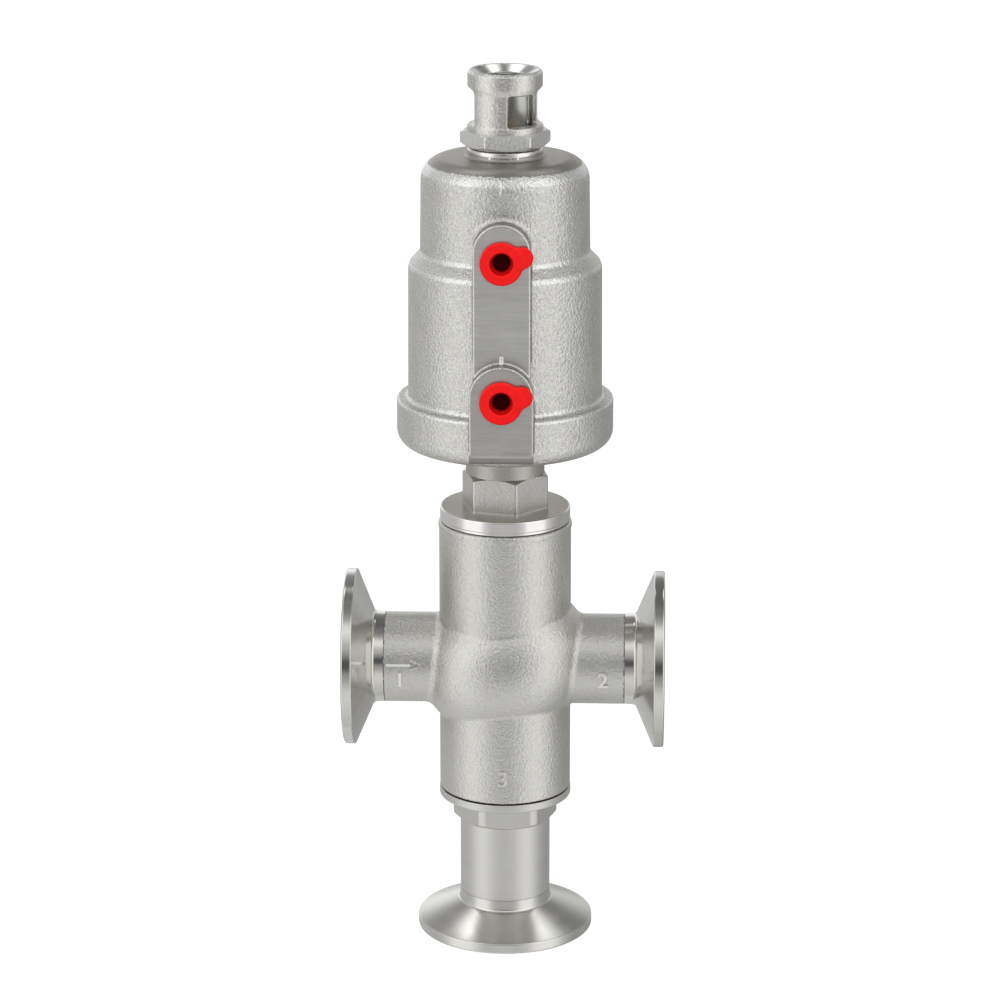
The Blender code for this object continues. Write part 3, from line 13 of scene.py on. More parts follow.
import bpy
import numpy as np
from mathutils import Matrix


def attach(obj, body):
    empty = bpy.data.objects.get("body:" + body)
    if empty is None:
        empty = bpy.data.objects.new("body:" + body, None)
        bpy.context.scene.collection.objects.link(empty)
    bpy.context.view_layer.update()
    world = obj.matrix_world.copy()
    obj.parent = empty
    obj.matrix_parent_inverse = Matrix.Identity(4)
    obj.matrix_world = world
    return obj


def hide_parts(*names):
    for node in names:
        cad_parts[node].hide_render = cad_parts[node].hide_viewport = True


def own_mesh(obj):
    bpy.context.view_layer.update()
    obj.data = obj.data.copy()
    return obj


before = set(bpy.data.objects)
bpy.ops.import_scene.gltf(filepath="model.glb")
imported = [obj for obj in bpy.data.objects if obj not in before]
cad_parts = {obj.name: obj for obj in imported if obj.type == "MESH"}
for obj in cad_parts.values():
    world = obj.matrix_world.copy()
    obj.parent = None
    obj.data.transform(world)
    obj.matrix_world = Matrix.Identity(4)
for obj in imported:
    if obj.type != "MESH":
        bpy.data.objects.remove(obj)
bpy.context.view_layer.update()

Array = np.ndarray
Field = Callable[[Array, Array, Array], Array]
Colour = Tuple[float, float, float]
Corner = Tuple[float, ...]
Pick = Callable[[Array], Array]

MM = 0.001
PORT_HEIGHT = 81.5
PORT_REACH = 45.7
BORE = 9.5
NECK_RADIUS = 12.95
BODY_RADIUS = 18.8
LOG = logging.getLogger("seat_valve")


class Facing(Enum):
    """Ways the own axis of a turned piece can point: the images of its u, v and w directions."""

    UP = ((1, 0, 0), (0, 1, 0), (0, 0, 1))
    RIGHT = ((0, 1, 0), (0, 0, 1), (1, 0, 0))
    LEFT = ((0, 0, 1), (0, 1, 0), (-1, 0, 0))
    FRONT = ((1, 0, 0), (0, 0, 1), (0, -1, 0))


class Body(Enum):
    """The moving bodies of the valve."""

    VALVE = "valve"
    STEM = "stem"
    UPPER_PLUG = "upper_transport_plug"
    LOWER_PLUG = "lower_transport_plug"


# ---------------------------------------------------------------------------------------------
# Shader boards
# ---------------------------------------------------------------------------------------------


class Wire:
    """A number socket that takes part in Python arithmetic and adds the Math nodes for it."""

    def __init__(self, board: "Board", socket: bpy.types.NodeSocket) -> None:
        """Keep the board and the socket.

        Args:
            board: the board that the socket's node is on.
            socket: the output socket that carries the number.
        """
        self.board = board
        self.socket = socket

    def __add__(self, other: "Value") -> "Wire":
        """Sum of the two numbers."""
        return self.board.maths("ADD", self, other)

    def __radd__(self, other: "Value") -> "Wire":
        """Sum with the number on the left."""
        return self.board.maths("ADD", other, self)

    def __sub__(self, other: "Value") -> "Wire":
        """Difference of the two numbers."""
        return self.board.maths("SUBTRACT", self, other)

    def __rsub__(self, other: "Value") -> "Wire":
        """Difference from the number on the left."""
        return self.board.maths("SUBTRACT", other, self)

    def __mul__(self, other: "Value") -> "Wire":
        """Product of the two numbers."""
        return self.board.maths("MULTIPLY", self, other)

    def __rmul__(self, other: "Value") -> "Wire":
        """Product with the number on the left."""
        return self.board.maths("MULTIPLY", other, self)

    def __truediv__(self, other: "Value") -> "Wire":
        """Quotient of the two numbers."""
        return self.board.maths("DIVIDE", self, other)

    def __pow__(self, other: "Value") -> "Wire":
        """Power of the number."""
        return self.board.maths("POWER", self, other)


Value = Union[Wire, float]


class Board:
    """A node tree with one way to add any node and one way to add maths."""

    def __init__(self, tree: bpy.types.NodeTree) -> None:
        """Keep the tree.

        Args:
            tree: the node tree of a material or of the world.
        """
        self.tree = tree

    def node(
        self, kind: str, settings: Optional[dict] = None, sockets: Optional[dict] = None
    ) -> bpy.types.Node:
        """Add a node.

        Args:
            kind: the node's type.
            settings: its settings, set first; "stops" holds a ramp's (place, level) pairs.
            sockets: values or wires for its inputs, by name or number.

        Returns:
            The node.
        """
        node = self.tree.nodes.new(kind)
        for key, setting in (settings or {}).items():
            if key == "stops":
                self._stops(node.color_ramp, setting)
            else:
                setattr(node, key, setting)
        for key, value in (sockets or {}).items():
            self.feed(node.inputs[key], value)
        return node

    @staticmethod
    def _stops(ramp: bpy.types.ColorRamp, stops: Sequence[Tuple[float, float]]) -> None:
        """Give a ramp its grey stops.

        Args:
            ramp: the colour ramp.
            stops: pairs of place and level, in rising order of place.
        """
        while len(ramp.elements) < len(stops):
            ramp.elements.new(1.0)
        for element, (place, level) in zip(ramp.elements, stops):
            element.position = place
            element.color = (level, level, level, 1.0)

    def feed(self, socket: bpy.types.NodeSocket, value: object) -> None:
        """Link a wire or a socket to an input, or set its value.

        Args:
            socket: the input.
            value: a wire, an output socket, a number or a tuple.
        """
        if isinstance(value, Wire):
            self.tree.links.new(value.socket, socket)
        elif isinstance(value, bpy.types.NodeSocket):
            self.tree.links.new(value, socket)
        else:
            socket.default_value = value

    def maths(self, operation: str, *values: Value, clamp: bool = False) -> Wire:
        """Add a Math node.

        Args:
            operation: the node's operation.
            values: its inputs in order.
            clamp: whether the result stays between 0 and 1.

        Returns:
            The wire with the result.
        """
        settings = {"operation": operation, "use_clamp": clamp}
        node = self.node("ShaderNodeMath", settings, dict(enumerate(values)))
        return Wire(self, node.outputs[0])

    def blend(self, factor: Value, first: object, second: object) -> bpy.types.NodeSocket:
        """Mix two colours.

        Args:
            factor: share of the second colour.
            first: the first colour or its socket.
            second: the second colour or its socket.

        Returns:
            The socket with the mixed colour.
        """
        node = self.node("ShaderNodeMix", {"data_type": "RGBA"}, {0: factor, 6: first, 7: second})
        return node.outputs[2]

    def place(self) -> Tuple[bpy.types.NodeSocket, Wire, Wire, Wire]:
        """Read the Object coordinates.

        Returns:
            The vector socket and its three numbers, in metres.
        """
        spot = self.node("ShaderNodeTexCoord").outputs["Object"]
        parts = self.node("ShaderNodeSeparateXYZ", None, {0: spot})
        return (spot, *(Wire(self, out) for out in parts.outputs))

    def vector(self, x: Value, y: Value, z: Value) -> bpy.types.NodeSocket:
        """Join three numbers into a vector socket."""
        return self.node("ShaderNodeCombineXYZ", None, {0: x, 1: y, 2: z}).outputs[0]

    def seen(self) -> Wire:
        """Mark the rays that come from the camera, straight or through clear plastic.

        Returns:
            The wire with 1 for such a ray and 0 for any other.
        """
        path = self.node("ShaderNodeLightPath")
        camera = Wire(self, path.outputs["Is Camera Ray"])
        return camera + Wire(self, path.outputs["Is Transmission Ray"])

    def noise(self, spot: object, size: float, detail: float = 2.0, rough: float = 0.5) -> Wire:
        """Add smooth noise.

        Args:
            spot: the vector socket it follows.
            size: size of its features in millimetres.
            detail: number of finer octaves.
            rough: share that each finer octave keeps.

        Returns:
            The wire with the noise, around 0.5.
        """
        sockets = {"Vector": spot, "Scale": 1.0 / (size * MM), "Detail": detail, "Roughness": rough}
        return Wire(self, self.node("ShaderNodeTexNoise", None, sockets).outputs[0])

    def bump(self, height: Wire, depth: float, strength: float = 1.0) -> bpy.types.NodeSocket:
        """Add a bump.

        Args:
            height: the wire with the height, 0 to 1.
            depth: height of a full step, in millimetres.
            strength: share of the bump that shows.

        Returns:
            The socket with the bent normal.
        """
        sockets = {"Height": height, "Distance": depth * MM, "Strength": strength}
        return self.node("ShaderNodeBump", None, sockets).outputs[0]


# ---------------------------------------------------------------------------------------------
# Finishes
# ---------------------------------------------------------------------------------------------


@dataclass(frozen=True)
class Finish:
    """A finish: a named material that is laid once and shared by its pieces."""

    name: str
    colour: Colour = (0.655, 0.648, 0.62)
    roughness: float = 0.3
    depth: float = 0.01
    metallic: float = 1.0

    def lay(self, board: Board, shader: bpy.types.Node) -> None:
        """Lay the finish on the board of its material.

        Args:
            board: the board of the material.
            shader: its Principled node.
        """
        raise NotImplementedError

    def material(self) -> bpy.types.Material:
        """Give the material, made at the first call.

        Returns:
            The material.
        """
        found = bpy.data.materials.get(self.name)
        if found is not None:
            return found
        material = bpy.data.materials.new(self.name)
        material.use_nodes = True
        material.diffuse_color = (*self.colour, 1.0)
        self.lay(Board(material.node_tree), material.node_tree.nodes["Principled BSDF"])
        return material

    def coat(
        self, board: Board, shader: bpy.types.Node, tone: object, gloss: Wire, height: Wire
    ) -> None:
        """Connect what a finish has worked out to the shader.

        Args:
            board: the board of the material.
            shader: its Principled node.
            tone: the colour or its socket.
            gloss: the wire with the roughness.
            height: the wire with the height of the bump, whose depth is the finish's.
        """
        board.feed(shader.inputs["Base Color"], tone)
        board.feed(shader.inputs["Metallic"], self.metallic)
        board.feed(shader.inputs["Roughness"], gloss)
        board.feed(shader.inputs["Normal"], board.bump(height, self.depth))

    def gloss(self, board: Board, veil: Wire, spread: float) -> Wire:
        """Let the finish's roughness wander by a spread about a sum of two noises."""
        return board.maths("MULTIPLY_ADD", veil, spread, self.roughness - spread)

    def shade(self, share: float) -> Tuple[float, float, float, float]:
        """The finish's colour times a share, as a socket colour."""
        red, green, blue = (min(1.0, part * share) for part in self.colour)
        return (red, green, blue, 1.0)


@dataclass(frozen=True)
class CastSteel(Finish):
    """Investment-cast stainless steel, bead blasted: fine peel, pits, soft sheen, faint clouds.

    The grain is the size of the peel in millimetres, the depth its height, and the pits the
    share by which the colour falls and rises: darker in the low pits as painted shade, and with
    random specks.
    """

    depth: float = 0.08
    grain: float = 0.9
    pits: float = 0.2

    def lay(self, board: Board, shader: bpy.types.Node) -> None:
        """Lay the cast finish: two sizes of peel as bump, and in the colour painted shade in the
        low pits, random specks and clouds.

        Args:
            board: the board of the material.
            shader: its Principled node.
        """
        spot, _, _, _ = board.place()
        peel = board.noise(spot, self.grain, 2.0, 0.6)
        waves = board.noise(spot, self.grain * 5.0, 1.0)
        clouds = board.noise(spot, 9.0, 3.0, 0.6)
        height = peel * 0.9 + waves * 0.35
        specks = board.noise(spot, self.grain * 0.8, 1.0, 0.5)
        # painted shade: the colour darkens where the peel is low, standing in for shade in the
        # pits; specks and clouds are random tone
        mixed = specks * 0.5 + peel * 0.35 + clouds * 0.15
        tone = board.blend(mixed, self.shade(1.0 - self.pits), self.shade(1.0 + self.pits))
        self.coat(board, shader, tone, self.gloss(board, peel + clouds, 0.08), height)


@dataclass(frozen=True)
class GroundSteel(Finish):
    """Cast steel ground flat on a belt: fine lines from side to side, a few deeper ones."""

    depth: float = 0.012

    def lay(self, board: Board, shader: bpy.types.Node) -> None:
        """Lay the ground finish: noise drawn out along X, as bump, tone and gloss.

        Args:
            board: the board of the material.
            shader: its Principled node.
        """
        spot, x, _, z = board.place()
        lines = board.noise(board.vector(x * 0.035, 0.0, z), 0.35, 3.0, 0.7)
        scores = board.noise(board.vector(x * 0.02, 0.3, z), 1.3, 2.0, 0.6)
        clouds = board.noise(spot, 6.0, 2.0)
        mixed = lines * 0.5 + scores * 0.3 + clouds * 0.2
        tone = board.blend(mixed, self.shade(0.6), self.shade(1.38))
        self.coat(board, shader, tone, self.gloss(board, lines + clouds, 0.1), lines)


@dataclass(frozen=True)
class TurnedSteel(Finish):
    """Steel from the lathe: fine rings about its own axis, stretched gloss, faint tool marks."""

    depth: float = 0.004
    axis: Facing = Facing.UP
    height: float = 0.0
    pitch: float = 0.22
    stretch: float = 0.0

    def lay(self, board: Board, shader: bpy.types.Node) -> None:
        """Lay the turned finish.

        The rings are noise on two numbers only, the distance from the axis and the place
        along it, so it runs round the piece unbroken.

        Args:
            board: the board of the material.
            shader: its Principled node.
        """
        spot, x, y, z = board.place()
        level = self.axis in (Facing.RIGHT, Facing.LEFT)
        across, along = (y, x) if level else (x, z)
        other = z - self.height * MM if level else y
        radius = board.maths("SQRT", across * across + other * other)
        rings = board.noise(board.vector(radius, along, 0.0), self.pitch, 3.0, 0.65)
        bands = board.noise(board.vector(radius, along, 0.02), 1.7, 2.0)
        smears = board.noise(spot, 2.5, 3.0, 0.6)
        tone = board.blend(bands * 0.6 + smears * 0.4, self.shade(0.95), self.shade(1.05))
        board.feed(shader.inputs["Anisotropic"], self.stretch)
        self.coat(board, shader, tone, self.gloss(board, bands + smears, 0.06), rings)


@dataclass(frozen=True)
class DrawnWire(Finish):
    """Drawn spring wire: greyer, with fine lines and a little oil bloom."""

    def lay(self, board: Board, shader: bpy.types.Node) -> None:
        """Lay the wire finish.

        Args:
            board: the board of the material.
            shader: its Principled node.
        """
        spot, _, _, z = board.place()
        lines = board.noise(board.vector(z * 3.0, z, 0.0), 0.3, 3.0)
        bloom = board.noise(spot, 3.0, 2.0)
        tone = board.blend(bloom, self.shade(0.85), self.shade(1.1))
        self.coat(board, shader, tone, bloom * 0.15 + (self.roughness - 0.07), lines)


@dataclass(frozen=True)
class Moulded(Finish):
    """Moulded plastic or rubber: even colour with slight mottle and a fine mould skin."""

    depth: float = 0.008
    metallic: float = 0.0
    grain: float = 0.6
    mottle: float = 0.06
    sheen: float = 0.5

    def lay(self, board: Board, shader: bpy.types.Node) -> None:
        """Lay the moulded finish.

        Args:
            board: the board of the material.
            shader: its Principled node.
        """
        spot, _, _, _ = board.place()
        skin = board.noise(spot, self.grain, 2.0)
        mottle = board.noise(spot, 2.4, 2.0)
        tone = board.blend(mottle, self.shade(1.0 - self.mottle), self.shade(1.0 + self.mottle))
        board.feed(shader.inputs["Specular IOR Level"], self.sheen)
        self.coat(board, shader, tone, skin * 0.1 + (self.roughness - 0.05), skin)


@dataclass(frozen=True)
class ClearMoulded(Finish):
    """Clear plastic: see-through, faintly tinted, with fine rubbing on its skin."""

    depth: float = 0.002
    metallic: float = 0.0

    def lay(self, board: Board, shader: bpy.types.Node) -> None:
        """Lay the clear finish.

        Args:
            board: the board of the material.
            shader: its Principled node.
        """
        spot, _, _, _ = board.place()
        rub = board.noise(spot, 1.2, 3.0)
        board.feed(shader.inputs["Transmission Weight"], 1.0)
        board.feed(shader.inputs["IOR"], 1.45)
        self.coat(board, shader, self.shade(1.0), rub * 0.06 + (self.roughness - 0.03), rub)


CAST = CastSteel("cast_stainless_steel", roughness=0.39, grain=0.72, depth=0.22, pits=0.24)
CAST_COARSE = CastSteel("cast_steel_coarse", roughness=0.38, grain=0.75, depth=0.34, pits=0.5)
CAST_SMALL = CastSteel(
    "cast_steel_small", (0.66, 0.645, 0.615), roughness=0.3, grain=0.7, depth=0.2, pits=0.4
)
# painted shade: a dark steel colour for the sides, the heel and the thin rim round the port column
CAST_SHADED = CastSteel(
    "cast_steel_shaded", (0.33, 0.32, 0.3), roughness=0.42, grain=0.8, depth=0.12, pits=0.3
)
# painted shade: a darker cast colour standing in for the shadow under the cylinder
CAST_PAINTED_SHADE = CastSteel("cast_steel_painted_shade", (0.47, 0.455, 0.425), roughness=0.42, grain=0.8, depth=0.1)
# painted shade: a dark colour on the top of the dome, standing in for the dark reflection there
CROWN_SHADE = CastSteel("cast_steel_crown_painted_shade", (0.39, 0.375, 0.35), roughness=0.4, grain=0.8, depth=0.07)
# painted highlight: a brighter steel colour on rounded edges and fillets, where bright lines of
# reflected light show
EDGE_HIGHLIGHT = CastSteel(
    "cast_steel_painted_highlight_edge", (0.8, 0.79, 0.765), roughness=0.28, grain=0.75, depth=0.28, pits=0.35
)
# painted highlight: the raised marks get a brighter steel colour than the casting, with lower
# roughness
RAISED_HIGHLIGHT = CastSteel("raised_marks_painted_highlight", (0.8, 0.79, 0.765), roughness=0.22, grain=0.6, depth=0.05)
GROUND = GroundSteel("ground_column_face", roughness=0.38)
# painted shade: a darker copy of the ground finish for the lower boss face
GROUND_PAINTED_SHADE = GroundSteel("ground_boss_face_painted_shade", (0.56, 0.55, 0.525), roughness=0.4)
MILLED = CastSteel(
    "milled_hexagon", (0.62, 0.605, 0.575), roughness=0.36, grain=0.7, depth=0.09, pits=0.3
)
# painted highlight: a much brighter copy of the milled finish for the cage's hexagon
MILLED_PAINTED_LIGHT = CastSteel(
    "milled_cage_hexagon_painted_light", (0.93, 0.91, 0.88), roughness=0.34, grain=0.8, depth=0.2, pits=0.4
)
TURNED = TurnedSteel("turned_stainless_steel", roughness=0.38, stretch=0.6)
MIRROR_TURNED = TurnedSteel(
    "mirror_turned_steel", (0.78, 0.77, 0.75), roughness=0.08, depth=0.002, stretch=0.7
)
# painted highlight: a brighter turned colour for the hexagon's foot flare and the cage's bore
TURNED_HIGHLIGHT = TurnedSteel("turned_steel_painted_highlight", (0.86, 0.85, 0.83), roughness=0.34, depth=0.003)
BOWL = TurnedSteel("turned_bowl", (0.76, 0.75, 0.73), roughness=0.16, depth=0.003, stretch=0.7)
# painted shade: a dark brownish colour for the bonnet disc's top, shaded by the actuator above
TURNED_PAINTED_SHADE = TurnedSteel("turned_disc_painted_shade", (0.43, 0.405, 0.375), roughness=0.34, stretch=0.5)
FERRULE_FOOT = TurnedSteel("turned_foot_ferrule", roughness=0.2, depth=0.004, stretch=0.7)
FERRULE_SIDE = TurnedSteel(
    "turned_side_ferrule", roughness=0.13, axis=Facing.RIGHT, height=PORT_HEIGHT, depth=0.004
)
PISTON_METAL = TurnedSteel("turned_aluminium", (0.78, 0.78, 0.79), 0.28, stretch=0.6)
SPRING = DrawnWire("drawn_spring_wire", (0.42, 0.42, 0.43), 0.34)
WHITE_SEAL = Moulded("white_seal_plastic", (0.84, 0.84, 0.81), 0.42)
BUSH = Moulded("brown_bush_plastic", (0.43, 0.31, 0.19), 0.48)
RUBBER = Moulded("black_seal_rubber", (0.03, 0.03, 0.03), 0.55, depth=0.015)
RED = Moulded("red_plug_plastic", (0.92, 0.008, 0.008), 0.5, mottle=0.04, sheen=0.22)
RED_SHADE = Moulded("red_plug_funnel", (0.5, 0.004, 0.004), 0.5, mottle=0.04, sheen=0.2)
# painted shade: a near-black red down the blind hole
RED_HOLE_SHADE = Moulded("red_plug_hole_painted_shade", (0.12, 0.002, 0.002), 0.6, mottle=0.04, sheen=0.1)
SIGNAL = Moulded("signal_plastic", (0.80, 0.43, 0.03), 0.4)
CLEAR = ClearMoulded("clear_tube_plastic", (0.94, 0.945, 0.93), 0.06)


# ---------------------------------------------------------------------------------------------
# Turned pieces
# ---------------------------------------------------------------------------------------------


@dataclass(frozen=True)
class Mould:
    """Points, four-cornered faces and point normals of one closed surface, in millimetres."""

    points: Array
    faces: Array
    normals: Array


@dataclass(frozen=True)
class HexBar:
    """A hexagon that a turned piece is milled to, between two heights."""

    flats: float
    corner_azimuth: float
    low: float
    high: float
    grip: float = 0.0
    flare: float = 0.0
    sharpness: float = 70.0
    crispness: float = 170.0

    def mill(self, shape: Array, radius: Array, angle: Array, normals: Array) -> Array:
        """Move the points outside the hexagon onto it.

        The hexagon's reach at an angle is half the flats over a high-power mean of the
        cosines to its six faces; the piece takes the soft minimum of that and its own radius,
        and the normal is shared between the two in the same measure. A flare widens the
        hexagon in a quarter round at its foot.

        Args:
            shape: outline radius and height per row.
            radius: radius of every point, changed in place.
            angle: azimuth of every column.
            normals: normal of every point in x, y and z, changed in place.

        Returns:
            The radius of every point.
        """
        faces = math.radians(self.corner_azimuth + 30.0) + np.arange(6) * math.pi / 3.0
        near = np.clip(np.cos(angle[:, None] - faces[None, :]), 0.0, 1.0)
        mean = np.sum(near**self.sharpness, 1) ** (1.0 / self.sharpness)
        reach = 0.5 * self.flats / mean
        weight = near ** (self.sharpness - 1.0)
        lean = np.stack([weight @ np.cos(faces), weight @ np.sin(faces), 0.0 * angle], 1)
        lean /= np.linalg.norm(lean, axis=1, keepdims=True)
        corner = max(self.grip, self.flats / math.sqrt(3.0)) + 0.02
        held = (shape[:, 1] >= self.low) & (shape[:, 1] <= self.high) & (shape[:, 0] <= corner)
        rows = np.nonzero(held)[0]
        lift = np.clip(self.flare - (shape[rows, 1] - self.low), 0.0, self.flare)
        skirt = self.flare - np.sqrt(np.maximum(self.flare**2 - lift**2, 0.0))
        reach = reach[None, :] * (1.0 + 2.0 * skirt / self.flats)[:, None]
        ratio = (radius[rows] / reach) ** self.crispness
        radius[rows] *= (1.0 + ratio) ** (-1.0 / self.crispness)
        share = (1.0 / (1.0 + ratio))[..., None]
        mixed = share * normals[rows] + (1.0 - share) * lean[None, :, :]
        normals[rows] = mixed / np.linalg.norm(mixed, axis=2, keepdims=True)
        return radius


def rounded_outline(
    corners: Sequence[Corner], edge: float = 0.15, steps: int = 5, longest: float = 1e9
) -> Tuple[Array, Array]:
    """Round the corners of a closed outline.

    At a corner with rounding q and turn t the arc starts q tan(t/2) before it, and each arc
    point is the arc's centre plus or minus q times the outline's normal, turned step by step.

    Args:
        corners: (radius, height) or (radius, height, rounding), all in millimetres.
        edge: rounding of a corner that names none.
        steps: steps of each arc.
        longest: longest straight stretch that is left undivided.

    Returns:
        The points (radius, height) in anticlockwise order, and their outward normals.
    """
    spots = np.array([corner[:2] for corner in corners], float)
    rounds = np.array([corner[2] if len(corner) > 2 else edge for corner in corners], float)
    ahead = np.roll(spots, -1, 0)
    if np.sum(spots[:, 0] * ahead[:, 1] - ahead[:, 0] * spots[:, 1]) < 0.0:
        spots, rounds = spots[::-1], rounds[::-1]
    run = np.roll(spots, -1, 0) - spots
    length = np.linalg.norm(run, axis=1)
    run = run / length[:, None]
    into = np.roll(run, 1, 0)
    turn = np.arctan2(into[:, 0] * run[:, 1] - into[:, 1] * run[:, 0], np.sum(into * run, 1))
    half = np.maximum(np.tan(np.abs(turn) / 2.0), 1e-6)
    room = 0.48 * np.minimum(length, np.roll(length, 1))
    back = np.minimum(np.maximum(rounds, 0.01) * half, room)
    points: List[Array] = []
    normals: List[Array] = []
    for index, spot in enumerate(spots):
        angle = np.linspace(0.0, turn[index], steps + 1)
        first = np.array([into[index, 1], -into[index, 0]])
        cos, sin = np.cos(angle), np.sin(angle)
        lean = np.stack([first[0] * cos - first[1] * sin, first[0] * sin + first[1] * cos], 1)
        bend = math.copysign(back[index] / half[index], turn[index])
        centre = spot - into[index] * back[index] - bend * first
        points.append(centre + bend * lean)
        normals.append(lean)
    ring, leans = np.concatenate(points), np.concatenate(normals)
    gap = np.linalg.norm(np.roll(ring, -1, 0) - ring, axis=1)
    parts = np.maximum(np.ceil(gap / longest).astype(int), 1)
    start = np.repeat(np.arange(len(ring)), parts)
    share = (np.arange(len(start)) - np.repeat(np.cumsum(parts) - parts, parts)) / parts[start]
    after = (start + 1) % len(ring)
    share = share[:, None]
    return ring[start] * (1 - share) + ring[after] * share, leans[start]


def turned(
    corners: Sequence[Corner],
    facing: Facing = Facing.UP,
    seat: Sequence[float] = (0.0, 0.0, 0.0),
    segments: int = 256,
    bar: Optional[HexBar] = None,
    edge: float = 0.15,
    longest: float = 1e9,
) -> Mould:
    """Turn a closed outline about its axis.

    A point is its radius times the cosine and sine of the column's angle, and its height.

    Args:
        corners: the outline, see rounded_outline.
        facing: way that the axis points.
        seat: where the axis starts.
        segments: columns round the axis.
        bar: hexagon that the piece is milled to.
        edge: rounding of a corner that names none.
        longest: longest straight stretch that is left undivided.

    Returns:
        The closed surface.
    """
    shape, lean = rounded_outline(corners, edge, 5, longest)
    angle = np.arange(segments) * 2.0 * math.pi / segments
    cos, sin = np.cos(angle), np.sin(angle)
    radius = np.repeat(shape[:, :1], segments, 1)
    level = np.repeat(shape[:, 1:], segments, 1)
    normals = np.stack(
        [lean[:, :1] * cos, lean[:, :1] * sin, np.repeat(lean[:, 1:], segments, 1)], 2
    )
    if bar is not None:
        radius = bar.mill(shape, radius, angle, normals)
    points = np.stack([radius * cos, radius * sin, level], 2).reshape(-1, 3)
    row = np.arange(len(shape))[:, None] * segments
    above = np.roll(row, -1, 0)
    column = np.arange(segments)[None, :]
    right = np.roll(column, -1, 1)
    faces = np.stack([row + column, row + right, above + right, above + column], 2)
    images = np.array(facing.value, float)
    points = points @ images + np.array(seat, float)
    return Mould(points, faces.reshape(-1, 4), normals.reshape(-1, 3) @ images)


# ---------------------------------------------------------------------------------------------
# Cast pieces: distance fields and their skin
# ---------------------------------------------------------------------------------------------


def join(first: Array, second: Array, fillet: float) -> Array:
    """Union of two fields with a round fillet where they meet.

    The field is the larger of the fillet and the smaller field, less the length of what each
    field lacks to the fillet.

    Args:
        first: distance to the first form.
        second: distance to the second form.
        fillet: radius of the fillet in millimetres.

    Returns:
        Distance to the joined form.
    """
    short = np.hypot(np.maximum(fillet - first, 0.0), np.maximum(fillet - second, 0.0))
    return np.maximum(fillet, np.minimum(first, second)) - short


def meet(first: Array, second: Array, rounding: float) -> Array:
    """Overlap of two fields with a rounded edge, by the same rule turned inside out.

    Args:
        first: distance to the first form.
        second: distance to the second form.
        rounding: radius of the edge in millimetres.

    Returns:
        Distance to the overlap.
    """
    long = np.hypot(np.maximum(rounding + first, 0.0), np.maximum(rounding + second, 0.0))
    return np.minimum(-rounding, np.maximum(first, second)) + long


def drum(
    away: Array, along: Array, radius: float, low: float, high: float, ends: Tuple[float, float]
) -> Array:
    """Field of a round drum with rounded ends.

    Args:
        away: distance from its axis.
        along: place along its axis.
        radius: its radius.
        low: its lower end.
        high: its upper end.
        ends: rounding of the lower and the upper end.

    Returns:
        Distance to the drum.
    """
    return meet(meet(away - radius, low - along, ends[0]), along - high, ends[1])


def drums(
    away: Array, along: Array, *rows: Tuple[float, float, float, Tuple[float, float]]
) -> Array:
    """Field of several drums on one axis.

    Args:
        away: distance from the axis.
        along: place along the axis.
        rows: radius, lower end, upper end and roundings of each drum.

    Returns:
        Distance to the nearest drum.
    """
    return reduce(np.minimum, [drum(away, along, *row) for row in rows])


def skin(shape: Field, low: Sequence[float], high: Sequence[float], cell: float) -> Mould:
    """Lay a mesh of quads over the surface where a field is nought.

    Every cell that the surface crosses gets one point, every grid edge that it crosses gets
    one quad, and the points then slide down the field's slope onto the surface, with two
    rounds of evening out in between. The normals are the slope itself.

    Args:
        shape: the field, negative inside.
        low: lowest corner of the box to search.
        high: highest corner of the box to search.
        cell: size of a cell.

    Returns:
        The closed surface.
    """
    start = np.array(low, float)
    count = np.ceil((np.array(high, float) - start) / cell).astype(int) + 1
    axes = [start[i] + cell * np.arange(count[i]) for i in range(3)]
    inside = np.empty(count, bool)
    for index, place in enumerate(axes[0]):
        inside[index] = shape(np.full((1, 1), place), axes[1][:, None], axes[2][None, :]) < 0.0
    total = np.zeros(count - 1, np.int8)
    for i, j, k in product((0, 1), repeat=3):
        total += inside[i : count[0] - 1 + i, j : count[1] - 1 + j, k : count[2] - 1 + k]
    mixed = (total > 0) & (total < 8)
    number = np.full(mixed.shape, -1)
    number[mixed] = np.arange(int(mixed.sum()))
    points = start + cell * (np.argwhere(mixed) + 0.5)
    quads = []
    for a in range(3):
        order = (a, (a + 1) % 3, (a + 2) % 3)
        solid, cells = np.transpose(inside, order), np.transpose(number, order)
        i, j, k = np.nonzero((solid[:-1] != solid[1:])[:, 1:-1, 1:-1])
        j, k = j + 1, k + 1
        quad = [cells[i, j - 1, k - 1], cells[i, j, k - 1], cells[i, j, k], cells[i, j - 1, k]]
        quad = np.stack(quad, 1)
        quads.append(np.where(solid[i, j, k][:, None], quad, quad[:, ::-1]))
    faces = np.concatenate(quads)
    ends = np.concatenate([faces[:, [0, 1]], faces[:, [1, 2]], faces[:, [2, 3]], faces[:, [3, 0]]])
    ends = np.concatenate([ends, ends[:, ::-1]])
    crowd = np.maximum(np.bincount(ends[:, 0], minlength=len(points)), 1)[:, None]
    points, slope = slide(shape, points, cell, 4)
    for _ in range(2):
        sums = [np.bincount(ends[:, 0], points[ends[:, 1], i], len(points)) for i in range(3)]
        points = 0.4 * points + 0.6 * np.stack(sums, 1) / crowd
        points, slope = slide(shape, points, cell, 2)
    steep = np.maximum(np.linalg.norm(slope, axis=1, keepdims=True), 1e-9)
    return Mould(points, faces, slope / steep)


